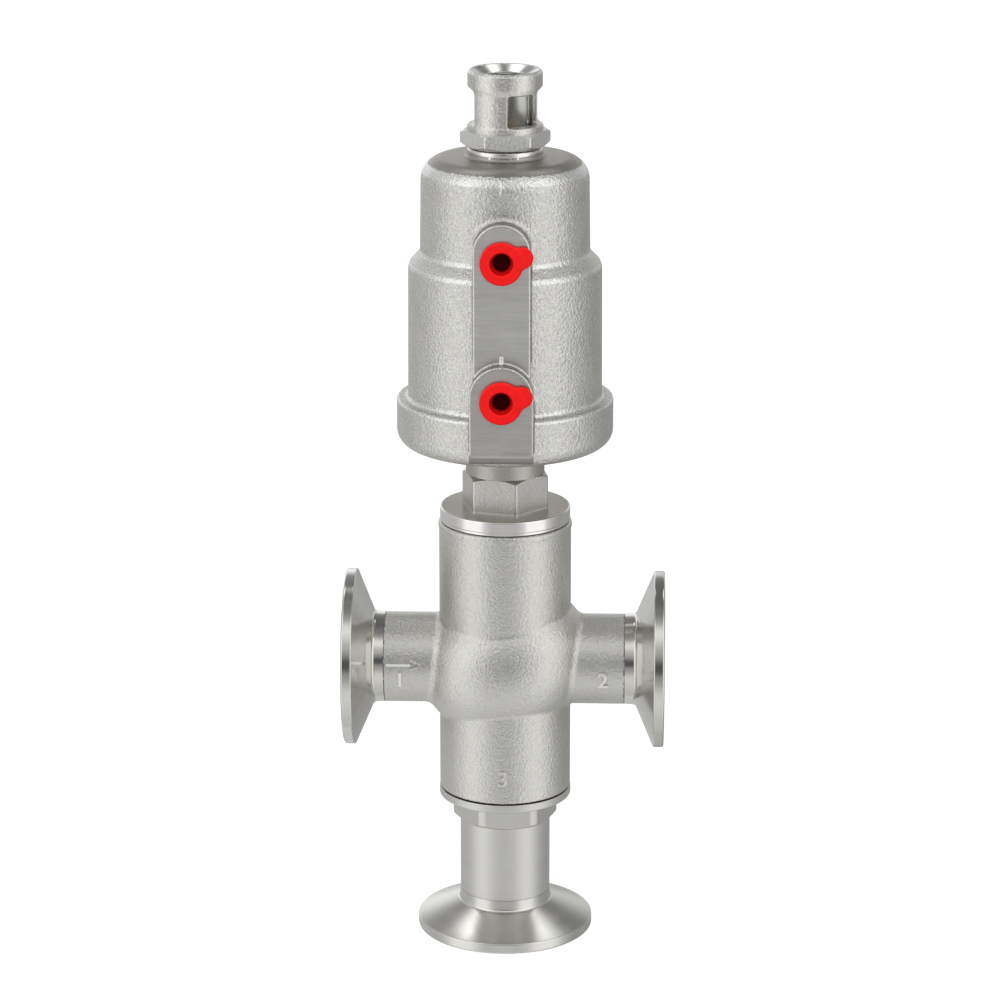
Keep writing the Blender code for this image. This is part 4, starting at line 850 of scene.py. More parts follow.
def slide(shape: Field, points: Array, cell: float, turns: int) -> Tuple[Array, Array]:
    """Slide points down a field's slope until they lie where it is nought.

    Args:
        shape: the field.
        points: the points.
        cell: most that a point may move in one turn.
        turns: number of turns.

    Returns:
        The moved points and the slope of the field there.
    """
    slope = np.zeros_like(points)
    reach = 0.03
    for _ in range(turns):
        for i in range(3):
            step = np.zeros(3)
            step[i] = reach
            ahead, behind = (points + step).T, (points - step).T
            slope[:, i] = (shape(*ahead) - shape(*behind)) / (2.0 * reach)
        square = np.maximum(np.sum(slope * slope, 1), 1e-3)
        move = np.clip(shape(*points.T) / square, -cell, cell)
        points = points - move[:, None] * slope
    return points, slope


# ---------------------------------------------------------------------------------------------
# Pieces
# ---------------------------------------------------------------------------------------------


Area = Tuple[Finish, Pick]


def belt(low: float, high: float, near: float = -1.0, far: float = 1e9) -> Pick:
    """Make a test that picks the places in a belt round the stem's axis.

    Args:
        low: height that they lie above.
        high: height that they lie below.
        near: distance from the axis that they lie beyond.
        far: distance from the axis that they lie within.

    Returns:
        The test.
    """

    def inside(spots: Array) -> Array:
        """Pick the places in the belt."""
        away, level = np.hypot(spots[:, 0], spots[:, 1]), spots[:, 2]
        return (level > low) & (level < high) & (away > near) & (away < far)

    return inside


def any_of(*tests: Pick) -> Pick:
    """Make a test that picks what any one of some tests picks."""
    return lambda spots: reduce(np.logical_or, [test(spots) for test in tests])


def stand(name: str, data: bpy.types.ID) -> bpy.types.Object:
    """Make an object and link it into the scene.

    Args:
        name: name of the object.
        data: the mesh, curve, lamp or camera that it holds.

    Returns:
        The object.
    """
    thing = bpy.data.objects.new(name, data)
    bpy.context.scene.collection.objects.link(thing)
    return thing


def settle(
    mesh: bpy.types.Mesh, body: Body = Body.VALVE, stands_for: Sequence[str] = ()
) -> bpy.types.Object:
    """Put a finished mesh into the scene as a piece of the same name.

    Args:
        mesh: the mesh, with its materials.
        body: body that it rides on.
        stands_for: nodes of the solids that it replaces.

    Returns:
        The piece.
    """
    piece = stand(mesh.name, mesh)
    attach(piece, body.value)
    if stands_for:
        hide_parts(*stands_for)
    LOG.info("%s: %d faces, rides on %s", mesh.name, len(mesh.polygons), body.value)
    return piece


def add_piece(
    name: str,
    mould: Mould,
    finish: Finish,
    body: Body = Body.VALVE,
    stands_for: Sequence[str] = (),
    areas: Sequence[Area] = (),
) -> None:
    """Put a closed surface into the scene as a piece.

    Args:
        name: name of the piece.
        mould: its surface.
        finish: its finish.
        body: body that it rides on.
        stands_for: nodes of the solids that it replaces.
        areas: finishes of single areas, each with the test that picks its faces by their middles.
    """
    mesh = bpy.data.meshes.new(name)
    mesh.from_pydata(mould.points * MM, [], mould.faces, shade_flat=False)
    mesh.normals_split_custom_set_from_vertices(mould.normals)
    mesh.materials.append(finish.material())
    middles = mould.points[mould.faces].mean(1)
    picks = np.zeros(len(middles), np.int32)
    for index, (area_finish, test) in enumerate(areas):
        mesh.materials.append(area_finish.material())
        picks[test(middles)] = index + 1
    mesh.polygons.foreach_set("material_index", picks)
    settle(mesh, body, stands_for)


@dataclass(frozen=True)
class ClampFerrule:
    """A clamp ferrule: flat face with a gasket groove, rim, sloping back and short neck."""

    letter: str
    facing: Facing
    seat: Tuple[float, float, float]
    finish: Finish
    rim_radius: float = 25.25
    rim: float = 3.0
    bore: float = BORE
    neck_radius: float = NECK_RADIUS
    neck_start: float = 8.2
    length: float = 11.32
    groove_radius: float = 21.8
    groove_half: float = 1.35
    groove_depth: float = 1.3

    def build(self) -> None:
        """Turn the ferrule and dress it."""
        corners = [
            (self.bore, 0.0, 0.25),
            (self.groove_radius - self.groove_half, 0.0, 0.3),
            (self.groove_radius - 0.55, self.groove_depth, 0.5),
            (self.groove_radius + 0.55, self.groove_depth, 0.5),
            (self.groove_radius + self.groove_half, 0.0, 0.3),
            (self.rim_radius, 0.0, 0.7),
            (self.rim_radius, self.rim, 0.45),
            (self.neck_radius + 0.2, self.neck_start, 1.1),
            (self.neck_radius, self.length, 0.03),
            (self.bore, self.length, 0.03),
        ]
        mould = turned(corners, self.facing, self.seat, 320)
        node = "ferrule_" + self.letter
        add_piece("clamp_" + node, mould, self.finish, stands_for=[node])


@dataclass(frozen=True)
class LowerAdaptor:
    """The lower adaptor: tube, hexagon, flange, thread and the seat nozzle above it."""

    bore: float = BORE
    tube_radius: float = NECK_RADIUS
    tube_base: float = 11.3
    hex_base: float = 33.1
    hex_flats: float = 27.0
    corner_radius: float = 14.95
    corner_azimuth: float = 6.0
    flange_base: float = 40.7
    flange_radius: float = 18.95
    flange_top: float = 43.1
    thread_radius: float = 15.0
    thread_top: float = 53.6
    nozzle_radius: float = 12.0
    nozzle_top: float = 60.0

    def build(self) -> None:
        """Turn the adaptor, mill its hexagon and dress it."""
        corners = [
            (self.bore, self.tube_base),
            (self.tube_radius, self.tube_base, 0.2),
            (self.tube_radius, self.hex_base + 0.5, 0.5),
            (self.corner_radius, self.hex_base + 1.6, 0.35),
            (self.corner_radius, self.flange_base, 0.35),
            (self.flange_radius, self.flange_base, 0.5),
            (self.flange_radius, self.flange_top, 0.3),
            (self.thread_radius, self.flange_top),
            (self.thread_radius, self.thread_top, 0.6),
            (self.nozzle_radius, self.thread_top),
            (self.nozzle_radius, self.nozzle_top, 0.9),
            (self.bore, self.nozzle_top, 0.4),
        ]
        low, high = self.hex_base - 1.0, self.flange_base - 0.05
        bar = HexBar(self.hex_flats, self.corner_azimuth, low, high)
        mould = turned(corners, segments=360, bar=bar, longest=0.55)
        add_piece("adaptor_tube", mould, TURNED, stands_for=["lower_adaptor"])


@dataclass(frozen=True)
class OvalWay:
    """An oval way through a chamber's wall along X, level or climbing."""

    start: float
    end: float
    half_width: float
    half_height: float
    level: float
    climb: float
    scale: float

    def field(self, x: Array, y: Array, z: Array) -> Array:
        """Field of the way.

        Args:
            x: places to the right.
            y: places to the back.
            z: heights.

        Returns:
            Distance to the way.
        """
        along = np.clip((x - self.start) / (self.end - self.start), -0.3, 1.3)
        lift = z - self.level - self.climb * along
        oval = (np.hypot(y / self.half_width, lift / self.half_height) - 1.0) * self.scale
        return meet(oval, np.maximum(self.start - x, x - self.end), 0.3)


@dataclass(frozen=True)
class ValveBody:
    """The cast body: barrel, leaning bulge, side necks with swept roots, chambers and ways."""

    radius: float = BODY_RADIUS
    base: float = 43.4
    top: float = 123.0
    lip_radius: float = 19.0
    neck_radius: float = NECK_RADIUS
    neck_end: float = 34.4
    bulge_axes: Tuple[float, float, float] = (25.0, 22.2, 21.6)
    bulge_lean: float = 25.0
    chamber: float = 14.5
    thread: float = 15.3
    thread_low: float = 53.9
    seat_low: float = 75.6
    seat_high: float = 78.6
    seat_bore: float = 9.0
    thread_high: float = 107.0
    port_bore: float = BORE
    port_floor: float = 17.8
    way_a: OvalWay = OvalWay(-23.8, -8.5, 7.5, 6.4, 78.5, -13.1, 5.2)
    way_b: OvalWay = OvalWay(10.5, 18.4, 8.3, 5.7, 84.9, 0.0, 5.7)
    cell: float = 0.56

    def outside(self, x: Array, y: Array, z: Array) -> Array:
        """Field of the casting without its hollows.

        The bulge is an egg with three half-axes, turned about Y so that it leans to the right;
        its field is the usual estimate from the lengths of the place over the half-axes and
        over their squares.

        Args:
            x: places to the right.
            y: places to the back.
            z: heights.

        Returns:
            Distance to the outside.
        """
        away = np.hypot(x, y)
        barrel = drum(away, z, self.radius, self.base, self.top, (0.5, 0.5))
        lip = drum(away, z, self.lip_radius, self.top - 1.6, self.top, (0.15, 0.75))
        barrel = join(barrel, lip, 0.3)
        lean = math.radians(self.bulge_lean)
        up = z - PORT_HEIGHT
        across = x * math.cos(lean) + up * math.sin(lean)
        tall = up * math.cos(lean) - x * math.sin(lean)
        wide, deep, high = self.bulge_axes
        egg = np.sqrt((across / wide) ** 2 + (y / deep) ** 2 + (tall / high) ** 2)
        steep = np.sqrt((across / wide**2) ** 2 + (y / deep**2) ** 2 + (tall / high**2) ** 2)
        bulge = egg * (egg - 1.0) / np.maximum(steep, 1e-4)
        cast = join(barrel, bulge, 0.35)
        neck = meet(np.hypot(y, up) - self.neck_radius, np.abs(x) - self.neck_end, 0.04)
        return join(cast, neck, 1.2)

    def hollows(self, x: Array, y: Array, z: Array) -> Array:
        """Field of the chambers, the seat bore, the port bores and the two oval ways.

        Args:
            x: places to the right.
            y: places to the back.
            z: heights.

        Returns:
            Distance to the hollows.
        """
        below, above = self.base - 5.0, self.top + 5.0
        hollow = drums(
            np.hypot(x, y), z,
            (self.chamber, below, self.seat_low, (0.2, 1.5)),
            (self.chamber, self.seat_high, above, (1.5, 0.2)),
            (self.seat_bore, self.seat_low - 2.0, self.seat_high + 2.0, (0.2, 0.2)),
            (self.thread, below, self.thread_low, (0.2, 0.3)),
            (self.thread, self.thread_high, above, (0.3, 0.2)),
        )
        side = np.hypot(y, z - PORT_HEIGHT) - self.port_bore
        ports = meet(side, self.port_floor - np.abs(x), 0.8)
        ways = np.minimum(self.way_a.field(x, y, z), self.way_b.field(x, y, z))
        return np.minimum(hollow, np.minimum(ports, ways))

    def build(self) -> None:
        """Cast the body and dress it."""

        def casting(x: Array, y: Array, z: Array) -> Array:
            """Field of the finished casting."""
            return meet(self.outside(x, y, z), -self.hollows(x, y, z), 0.35)

        reach = self.neck_end + 1.5
        wide = self.bulge_axes[1] + 1.6
        low, high = (-reach, -wide, self.base - 1.6), (reach, wide, self.top + 1.6)
        mould = skin(casting, low, high, self.cell)
        add_piece("cast_body", mould, CAST, stands_for=["valve_body"])


@dataclass(frozen=True)
class Bonnet:
    """The screwed bonnet: nose, thread, disc, hexagon and the spigot for the packing."""

    base: float = 123.3
    disc_radius: float = 18.5
    hex_base: float = 127.4
    hex_top: float = 137.3
    hex_flats: float = 22.0
    corner_azimuth: float = -13.6
    spigot_radius: float = 9.2
    spigot_top: float = 148.3

    def build(self) -> None:
        """Turn the bonnet, mill its hexagon and dress it."""
        corner = self.hex_flats / math.sqrt(3.0)
        corners = [
            (7.2, 98.3), (9.6, 98.3, 0.8), (9.6, 107.3, 0.8), (15.0, 107.3, 0.8),
            (15.0, self.base), (15.5, self.base), (15.5, self.base + 1.0),
            (18.0, self.base + 1.0), (18.0, self.base), (self.disc_radius - 0.2, self.base, 0.2),
            (self.disc_radius - 0.2, self.base + 0.75, 0.15),
            (self.disc_radius, self.base + 1.0, 0.15),
            (self.disc_radius, self.hex_base, 0.45),
            (8.0, self.hex_base), (8.0, 112.3), (5.3, 112.3), (5.3, 109.6), (7.2, 109.6),
        ]
        mould = turned(corners, segments=360)
        # the disc's top gets painted shade
        disc_top = belt(self.hex_base - 0.05, self.hex_base + 0.05, far=self.disc_radius - 0.4)
        add_piece(
            "bonnet_disc", mould, MIRROR_TURNED, stands_for=["bonnet"],
            areas=[(TURNED_PAINTED_SHADE, disc_top)],
        )
        grip = corner + 0.7
        corners = [
            (7.5, self.hex_base - 0.4), (grip, self.hex_base - 0.4, 0.02),
            (grip, self.hex_top - (grip - 11.2) * 0.6, 0.1),
            (11.2, self.hex_top, 0.15),
            (self.spigot_radius, self.hex_top),
            (self.spigot_radius, self.spigot_top, 0.6),
            (7.5, self.spigot_top),
        ]
        bar = HexBar(
            self.hex_flats, self.corner_azimuth, self.hex_base - 0.4, self.hex_top + 0.02, grip, 0.9
        )
        mould = turned(corners, segments=360, bar=bar, longest=0.3)
        # painted highlight: a bright line along the hexagon's foot
        foot = belt(self.hex_base - 0.39, self.hex_base + 0.42)
        add_piece("bonnet_hexagon", mould, MILLED, areas=[(TURNED_HIGHLIGHT, foot)])


@dataclass(frozen=True)
class ActuatorCover:
    """The cover that closes the cylinder, with its neck over the bonnet."""

    neck_radius: float = 11.15
    base: float = 137.6
    disc_base: float = 146.2
    disc_top: float = 158.9
    disc_radius: float = 25.3

    def build(self) -> None:
        """Turn the cover and dress it."""
        corners = [
            (9.5, self.base - 0.28), (self.neck_radius, self.base - 0.28, 0.1),
            (self.neck_radius, self.disc_base, 1.2), (20.5, self.disc_base, 0.8),
            (self.disc_radius, self.disc_base, 0.6), (self.disc_radius, 151.0),
            (22.6, 151.0), (22.6, 154.0), (self.disc_radius, 154.0),
            (self.disc_radius, self.disc_top, 0.8), (20.3, self.disc_top, 0.6),
            (19.3, 153.9, 0.8), (8.3, 153.9), (5.3, 153.9), (5.3, 148.6), (9.5, 148.6),
        ]
        mould = turned(corners, segments=256)
        # the cover's neck gets painted shade for the shadow of the cylinder above it
        add_piece("cover_plate", mould, CAST_PAINTED_SHADE, stands_for=["actuator_cover"])


@dataclass(frozen=True)
class ActuatorCylinder:
    """The cast cylinder: foot ring, two barrels, dome, and the column and boss of the air ports."""

    foot_radius: float = 30.5
    base: float = 145.9
    foot_top: float = 159.5
    lower_radius: float = 27.3
    shoulder: float = 199.8
    upper_radius: float = 23.75
    draft: float = 0.25
    dome: float = 228.2
    land_radius: float = 10.5
    land_top: float = 230.6
    column_half: float = 7.9
    column_top: float = 214.4
    column_base: float = 171.1
    column_face: float = 28.7
    boss_half: float = 8.8
    boss_top: float = 175.7
    boss_base: float = 147.7
    boss_face: float = 32.7
    heel: float = 3.3
    upper_port: float = 203.8
    lower_port: float = 165.8
    spigot_bore: float = 25.6
    spigot_top: float = 159.2
    lower_bore: float = 24.5
    lower_bore_top: float = 195.0
    upper_bore: float = 20.85
    ceiling: float = 224.8
    hole: float = 8.5
    port_bore: float = 4.3
    port_depth: float = 6.2
    way_radius: float = 2.4
    cell: float = 0.63
    boss_cell: float = 0.3

    def arch(
        self, x: Array, y: Array, z: Array, half: float, base: float, top: float, face: float
    ) -> Array:
        """Field of an upright boss with an arched top and a rounded front edge.

        Args:
            x: places to the right.
            y: places to the back.
            z: heights.
            half: half its width.
            base: its lower end.
            top: top of the arch.
            face: how far its face stands in front of the stem.

        Returns:
            Distance to the boss.
        """
        above = np.maximum(z - (top - half), 0.0)
        outline = np.maximum(np.hypot(x, above) - half, base - z)
        front = -face - y
        return meet(outline, np.maximum(front, y + 10.0), 0.55)

    def barrels(self, x: Array, y: Array, z: Array) -> Array:
        """Field of the foot ring, the two barrels with the slope between them, and the dome.

        Args:
            x: places to the right.
            y: places to the back.
            z: heights.

        Returns:
            Distance to them.
        """
        away = np.hypot(x, y)
        rise = np.clip((z - self.foot_top) / (self.shoulder - self.foot_top), 0.0, 1.0)
        foot = drum(away, z, self.foot_radius, self.base, self.foot_top, (4.5, 0.9))
        lower = drum(away + self.draft * rise, z, self.lower_radius, 150.0, 202.5, (0.5, 0.5))
        slope = (away - self.upper_radius + z - self.shoulder - 1.3) * math.sqrt(0.5)
        lower = meet(lower, slope, 0.9)
        climb = np.clip((z - self.shoulder) / (self.dome - self.shoulder), 0.0, 1.0)
        crown = self.dome - 0.6 * np.clip(away / self.upper_radius, 0.0, 1.0)
        upper = meet(
            meet(away + 0.4 * climb - self.upper_radius, 190.0 - z, 0.5), z - crown, 6.0
        )
        return join(join(foot, lower, 1.3), upper, 0.6)

    def outside(self, x: Array, y: Array, z: Array) -> Array:
        """Field of the casting without its hollows.

        Args:
            x: places to the right.
            y: places to the back.
            z: heights.

        Returns:
            Distance to the outside.
        """
        away = np.hypot(x, y)
        cast = self.barrels(x, y, z)
        flash = meet(cast - 0.14, np.hypot(x, np.maximum(np.abs(z - 223.4) - 1.5, 0.0)) - 0.45, 0.2)
        flash = np.maximum(flash, y)
        land = drum(away, z, self.land_radius, 220.0, self.land_top, (0.1, 0.5))
        cast = join(join(cast, flash, 0.3), land, 1.0)
        cove = self.arch(
            x, y, z, self.column_half - 0.3, self.column_base, self.column_top - 0.3,
            self.column_face - 0.5,
        )
        return join(cast, cove, 0.3 + 1.5 * np.clip((z - 203.0) / 8.0, 0.0, 1.0))

    def bosses(self, x: Array, y: Array, z: Array) -> Array:
        """Field of the column and the lower boss, with the nub between and a thin rim round them.

        Args:
            x: places to the right.
            y: places to the back.
            z: heights.

        Returns:
            Distance to them.
        """
        column = self.arch(
            x, y, z, self.column_half, self.column_base, self.column_top, self.column_face
        )
        boss = self.arch(x, y, z, self.boss_half, self.boss_base, self.boss_top, self.boss_face)
        ahead = np.maximum(-y - self.boss_face + self.heel, 0.0)
        heel = np.hypot(ahead, np.maximum(self.boss_base + self.heel - z, 0.0)) - self.heel
        boss = meet(boss, heel, 0.15)
        both = join(column, boss, 0.7)
        seam = np.hypot(x, np.maximum(np.abs(z - 176.2) - 1.2, 0.0)) - 0.45
        ridge = (np.abs(x) - self.column_face - 0.42 - y) * 0.7
        both = join(both, np.maximum(seam, np.maximum(both - 0.6, ridge)), 0.25)
        # the thin rim round the column and boss gets painted shade, as a dark outline along the
        # wall
        rim = 0.4
        root = np.minimum(
            self.arch(x, y, z, self.column_half + rim, 171.0, 210.0, 40.0),
            self.arch(x, y, z, self.boss_half + rim, self.boss_base + 3.0, 172.0, 40.0),
        )
        return np.minimum(both, np.maximum(root, self.barrels(x, y, z) - 0.12))

    def hollows(self, x: Array, y: Array, z: Array) -> Array:
        """Field of the stepped bore, the hole for the indicator and the two air ports.

        Args:
            x: places to the right.
            y: places to the back.
            z: heights.

        Returns:
            Distance to the hollows.
        """
        hollow = drums(
            np.hypot(x, y), z,
            (self.spigot_bore, 140.0, self.spigot_top, (0.1, 0.2)),
            (self.lower_bore, 150.0, self.lower_bore_top, (0.1, 0.4)),
            (self.upper_bore, 190.0, self.ceiling, (0.1, 3.0)),
            (self.hole, 220.0, 235.0, (0.1, 0.1)),
        )
        for face, height, inner in (
            (self.column_face, self.upper_port, 20.0), (self.boss_face, self.lower_port, 24.0)
        ):
            side = np.hypot(x, z - height)
            port = meet(side - self.port_bore, -y - face - 2.0, 0.1)
            port = np.maximum(port, y + face - self.port_depth)
            way = np.maximum(np.maximum(side - self.way_radius, y + inner - 1.0), -y - face)
            hollow = np.minimum(hollow, np.minimum(port, way))
        return hollow

    def build(self) -> None:
        """Cast the cylinder and dress it."""

        def casting(x: Array, y: Array, z: Array) -> Array:
            """Field of the finished casting."""
            return meet(self.outside(x, y, z), -self.hollows(x, y, z), 0.3)

        wide = self.foot_radius + 1.7
        mould = skin(
            casting, (-wide, -self.boss_face - 1.7, self.base - 1.5),
            (wide, wide, self.land_top + 1.5), self.cell,
        )

        rim = self.hole + 0.2
        land = belt(self.dome + 0.7, self.land_top + 1.0, rim)
        # the crown belt gets the painted shade of the dome top
        crown = belt(self.dome - 2.1, self.dome + 0.7, rim)
        # painted highlight: the rounded edges of the dome, the shoulders and the foot get the
        # brighter colour
        edges = any_of(
            belt(self.dome - 4.6, self.dome - 2.1, 21.0),
            belt(self.shoulder - 2.7, self.shoulder - 1.6, 26.2, 28.0),
            belt(self.shoulder + 1.2, self.shoulder + 2.1, 22.0, 24.4),
            belt(self.foot_top - 1.0, self.foot_top - 0.1, 29.6, 31.0),
            belt(self.foot_top + 0.25, self.foot_top + 1.3, 26.0, 28.4),
        )
        add_piece(
            "cast_cylinder", mould, CAST_COARSE, stands_for=["actuator_cylinder"],
            areas=[(MIRROR_TURNED, land), (CROWN_SHADE, crown), (EDGE_HIGHLIGHT, edges)],
        )

        def bossing(x: Array, y: Array, z: Array) -> Array:
            """Field of the column and the boss, cut by the hollows and bored for the ports."""
            return meet(self.bosses(x, y, z), -self.hollows(x, y, z), 0.15)

        half = self.boss_half + 1.0
        mould = skin(
            bossing, (-half, -self.boss_face - 1.0, self.boss_base - 1.0),
            (half, -9.0, self.column_top + 1.0), self.boss_cell,
        )

        def on_face(face: float) -> Pick:
            """Make the test that picks a port's flat face by how far in front it stands."""
            return lambda spots: np.abs(-spots[:, 1] - face) < 0.1

        def on_bevels(spots: Array) -> Array:
            """Pick the rounded edges round the two flat faces, which get a painted highlight."""
            ahead = -spots[:, 1]
            column = (ahead < self.column_face - 0.1) & (ahead > self.column_face - 0.6)
            boss = (ahead < self.boss_face - 0.1) & (ahead > self.boss_face - 0.6)
            high = spots[:, 2] > self.boss_base + 3.4
            nub = (np.abs(spots[:, 0]) < 1.0) & (ahead > self.column_face + 0.1)
            nub &= (spots[:, 2] > self.boss_top) & (spots[:, 2] < self.boss_top + 6.0)
            return ((boss | (column & (spots[:, 2] > self.boss_top - 4.0))) & high) | nub

        def in_painted_shade(spots: Array) -> Array:
            """Pick the faces of the sides, of the rounded heel and of the thin rim, which get
            painted shade.
            """
            ahead = -spots[:, 1]
            column = (ahead < self.column_face - 0.6) & (spots[:, 2] > self.boss_top)
            boss = (ahead > self.column_face + 0.5) & (ahead < self.boss_face - 0.6)
            root = np.abs(spots[:, 0]) > np.where(spots[:, 2] > self.boss_top, 8.0, 8.9)
            return column | boss | root | (spots[:, 2] < self.boss_base + 3.0)

        add_piece(
            "port_column", mould, CAST_COARSE,
            areas=[
                (CAST_SHADED, in_painted_shade), (GROUND, on_face(self.column_face)),
                (GROUND_PAINTED_SHADE, on_face(self.boss_face)), (EDGE_HIGHLIGHT, on_bevels),
            ],
        )


@dataclass(frozen=True)
class IndicatorCage:
    """The windowed cage on the dome: hexagon, collar, post, top ring with its bowl, spigot."""

    base: float = 230.9
    hex_top: float = 235.4
    hex_flats: float = 22.0
    corner_azimuth: float = 5.5
    collar_radius: float = 10.6
    sill: float = 237.2
    window_top: float = 246.0
    top: float = 252.1
    ring_radius: float = 10.4
    post_shift: float = 0.25
    post_half: float = 8.5
    tube_bore: float = 7.5
    tube_top: float = 249.9
    lip_bore: float = 6.4
    bowl_base: float = 250.2
    bowl_radius: float = 9.3
    head_bore: float = 4.9
    head_floor: float = 229.1
    rod_bore: float = 2.5
    spigot_radius: float = 8.2
    window_width: float = 11.3
    window_shift: float = 0.35
    window_azimuth: float = -48.0
    cell: float = 0.24

    def cage(self, x: Array, y: Array, z: Array) -> Array:
        """Field of the collar, the post with its window, the ring and its bowl.

        Args:
            x: places to the right.
            y: places to the back.
            z: heights.

        Returns:
            Distance to the cage.
        """
        away = np.hypot(x, y)
        collar = drum(away, z, self.collar_radius, self.hex_top - 0.6, self.sill - 0.2, (0.1, 0.5))
        post = drum(away, z, self.ring_radius, self.hex_top, self.top - 1.0, (0.1, 0.1))
        post = meet(post, np.abs(x - self.post_shift) - self.post_half, 0.35)
        ring = drum(away, z, self.ring_radius, self.window_top + 1.0, self.top, (0.9, 1.1))
        cage = join(join(collar, post, 0.9), ring, 1.4)
        slant = (away - self.lip_bore) * 0.5 - (z - self.bowl_base) * 0.87
        cage = meet(cage, -np.maximum(slant, away - self.bowl_radius), 0.35)
        bores = drums(
            away, z,
            (self.tube_bore, self.sill - 2.6, self.tube_top, (0.1, 0.1)),
            (self.lip_bore, self.tube_top - 0.9, self.top + 3.9, (0.1, 0.1)),
        )
        cage = meet(cage, -bores, 0.2)
        turn = math.radians(self.window_azimuth)
        across = y * math.cos(turn) - x * math.sin(turn) + self.window_shift
        across = np.abs(across) - self.window_width / 2.0
        middle = (self.sill + self.window_top) / 2.0
        tall = np.abs(z - middle) - (self.window_top - self.sill) / 2.0
        window = meet(across, tall, 0.8)
        return meet(cage, -window, 0.45)

    def build(self) -> None:
        """Make the cage and the hexagon under it."""
        wide = self.collar_radius + 0.8
        mould = skin(
            self.cage, (-wide, -wide, self.hex_top - 1.4), (wide, wide, self.top + 0.8), self.cell
        )
        above = self.top + 1.0
        # painted highlight: the inside of the cage is coloured brighter
        inside = belt(self.base, above, far=self.tube_bore + 0.05)
        bowl = belt(self.tube_top, above, self.lip_bore - 0.1, self.bowl_radius - 0.1)
        # painted highlight: the top edge of the ring gets the brighter colour
        top_edge = belt(self.top - 0.75, above, self.bowl_radius - 0.1)
        add_piece(
            "cage_window", mould, CAST_SMALL, stands_for=["indicator_cage"],
            areas=[(TURNED_HIGHLIGHT, inside), (BOWL, bowl), (EDGE_HIGHLIGHT, top_edge)],
        )
        corner = self.hex_flats / math.sqrt(3.0)
        low = self.base - 6.5
        corners = [
            (self.rod_bore, low), (self.spigot_radius, low, 0.5), (self.spigot_radius, self.base),
            (corner - 1.9, self.base, 0.25), (corner, self.base + 1.2, 0.3),
            (corner, self.hex_top - 0.7, 0.3), (corner - 1.3, self.hex_top, 0.25),
            (self.tube_bore + 0.2, self.hex_top), (self.tube_bore + 0.2, self.sill - 2.6),
            (self.head_bore, self.sill - 2.6), (self.head_bore, self.head_floor),
            (self.rod_bore, self.head_floor),
        ]
        bar = HexBar(self.hex_flats, self.corner_azimuth, self.base - 0.02, self.hex_top + 0.02)
        mould = turned(corners, segments=360, bar=bar, longest=0.45)
        add_piece("cage_hexagon", mould, MILLED_PAINTED_LIGHT)


@dataclass(frozen=True)
class SightTube:
    """The clear tube inside the cage, and the indicator head that shows in it."""

    bore: float = 6.0
    radius: float = 7.2
    base: float = 234.9
    top: float = 249.6
    cap: float = 1.2
    vent: float = 1.8
    head: float = 4.6

    def build(self) -> None:
        """Make the tube and the head."""
        corners = [
            (self.bore, self.base), (self.radius, self.base), (self.radius, self.top, 0.5),
            (self.vent, self.top), (self.vent, self.top - self.cap),
            (self.bore, self.top - self.cap, 0.5),
        ]
        mould = turned(corners, segments=160)
        add_piece("clear_tube", mould, CLEAR, stands_for=["sight_tube"])
        corners = [
            (2.25, 229.4), (self.head, 229.4, 0.4), (self.head, 233.2, 0.6), (3.9, 234.1, 0.8),
            (2.25, 234.4, 0.1),
        ]
        add_piece(
            "signal_head", turned(corners, segments=96), SIGNAL, Body.STEM,
            ["indicator_head"],
        )


@dataclass(frozen=True)
class ReturnSpring:
    """The coil spring over the piston: round wire with half a flat turn at each end."""

    coil_radius: float = 18.15
    wire: float = 1.5
    low: float = 183.7
    high: float = 223.0
    turns: float = 5.5
    steps: int = 64
    sides: int = 14
    ceiling: float = 224.5
    travel: float = 8.0

    def build(self) -> None:
        """Wind the spring and dress it.

        The wire's middle runs round at a fixed radius and climbs evenly between the flat ends.
        Each cross-section is a circle across the wire's direction.
        """
        total = self.turns + 1.0
        rows = round(total * self.steps) + 1
        along = np.linspace(0.0, total, rows)
        angle = 2.0 * np.pi * along
        share = np.clip((along - 0.5) / self.turns, 0.0, 1.0)
        ring = 2.0 * np.pi * np.arange(self.sides) / self.sides
        reach = self.coil_radius + self.wire * np.cos(ring)[None, :]
        middle = (self.low + (self.high - self.low) * share)[:, None]
        points = np.stack(
            [
                reach * np.cos(angle)[:, None], reach * np.sin(angle)[:, None],
                middle + self.wire * np.sin(ring)[None, :],
            ],
            2,
        ).reshape(-1, 3)
        first = (np.arange(rows - 1) * self.sides)[:, None]
        near = np.arange(self.sides)[None, :]
        after = (near + 1) % self.sides
        quads = np.stack(
            [first + near, first + near + self.sides, first + after + self.sides, first + after], 2
        ).reshape(-1, 4)
        last = rows * self.sides - 1
        ends = [tuple(range(self.sides)), tuple(range(last, last - self.sides, -1))]
        faces = [tuple(int(part) for part in quad) for quad in quads] + ends
        mesh = bpy.data.meshes.new("coil_spring")
        mesh.from_pydata(points * MM, [], faces)
        mesh.polygons.foreach_set("use_smooth", [True] * len(quads) + [False, False])
        mesh.materials.append(SPRING.material())
        piece = settle(mesh, stands_for=["return_spring"])
        length = self.ceiling - self.low + self.wire
        keep = (length - self.travel) / length
        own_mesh(piece)


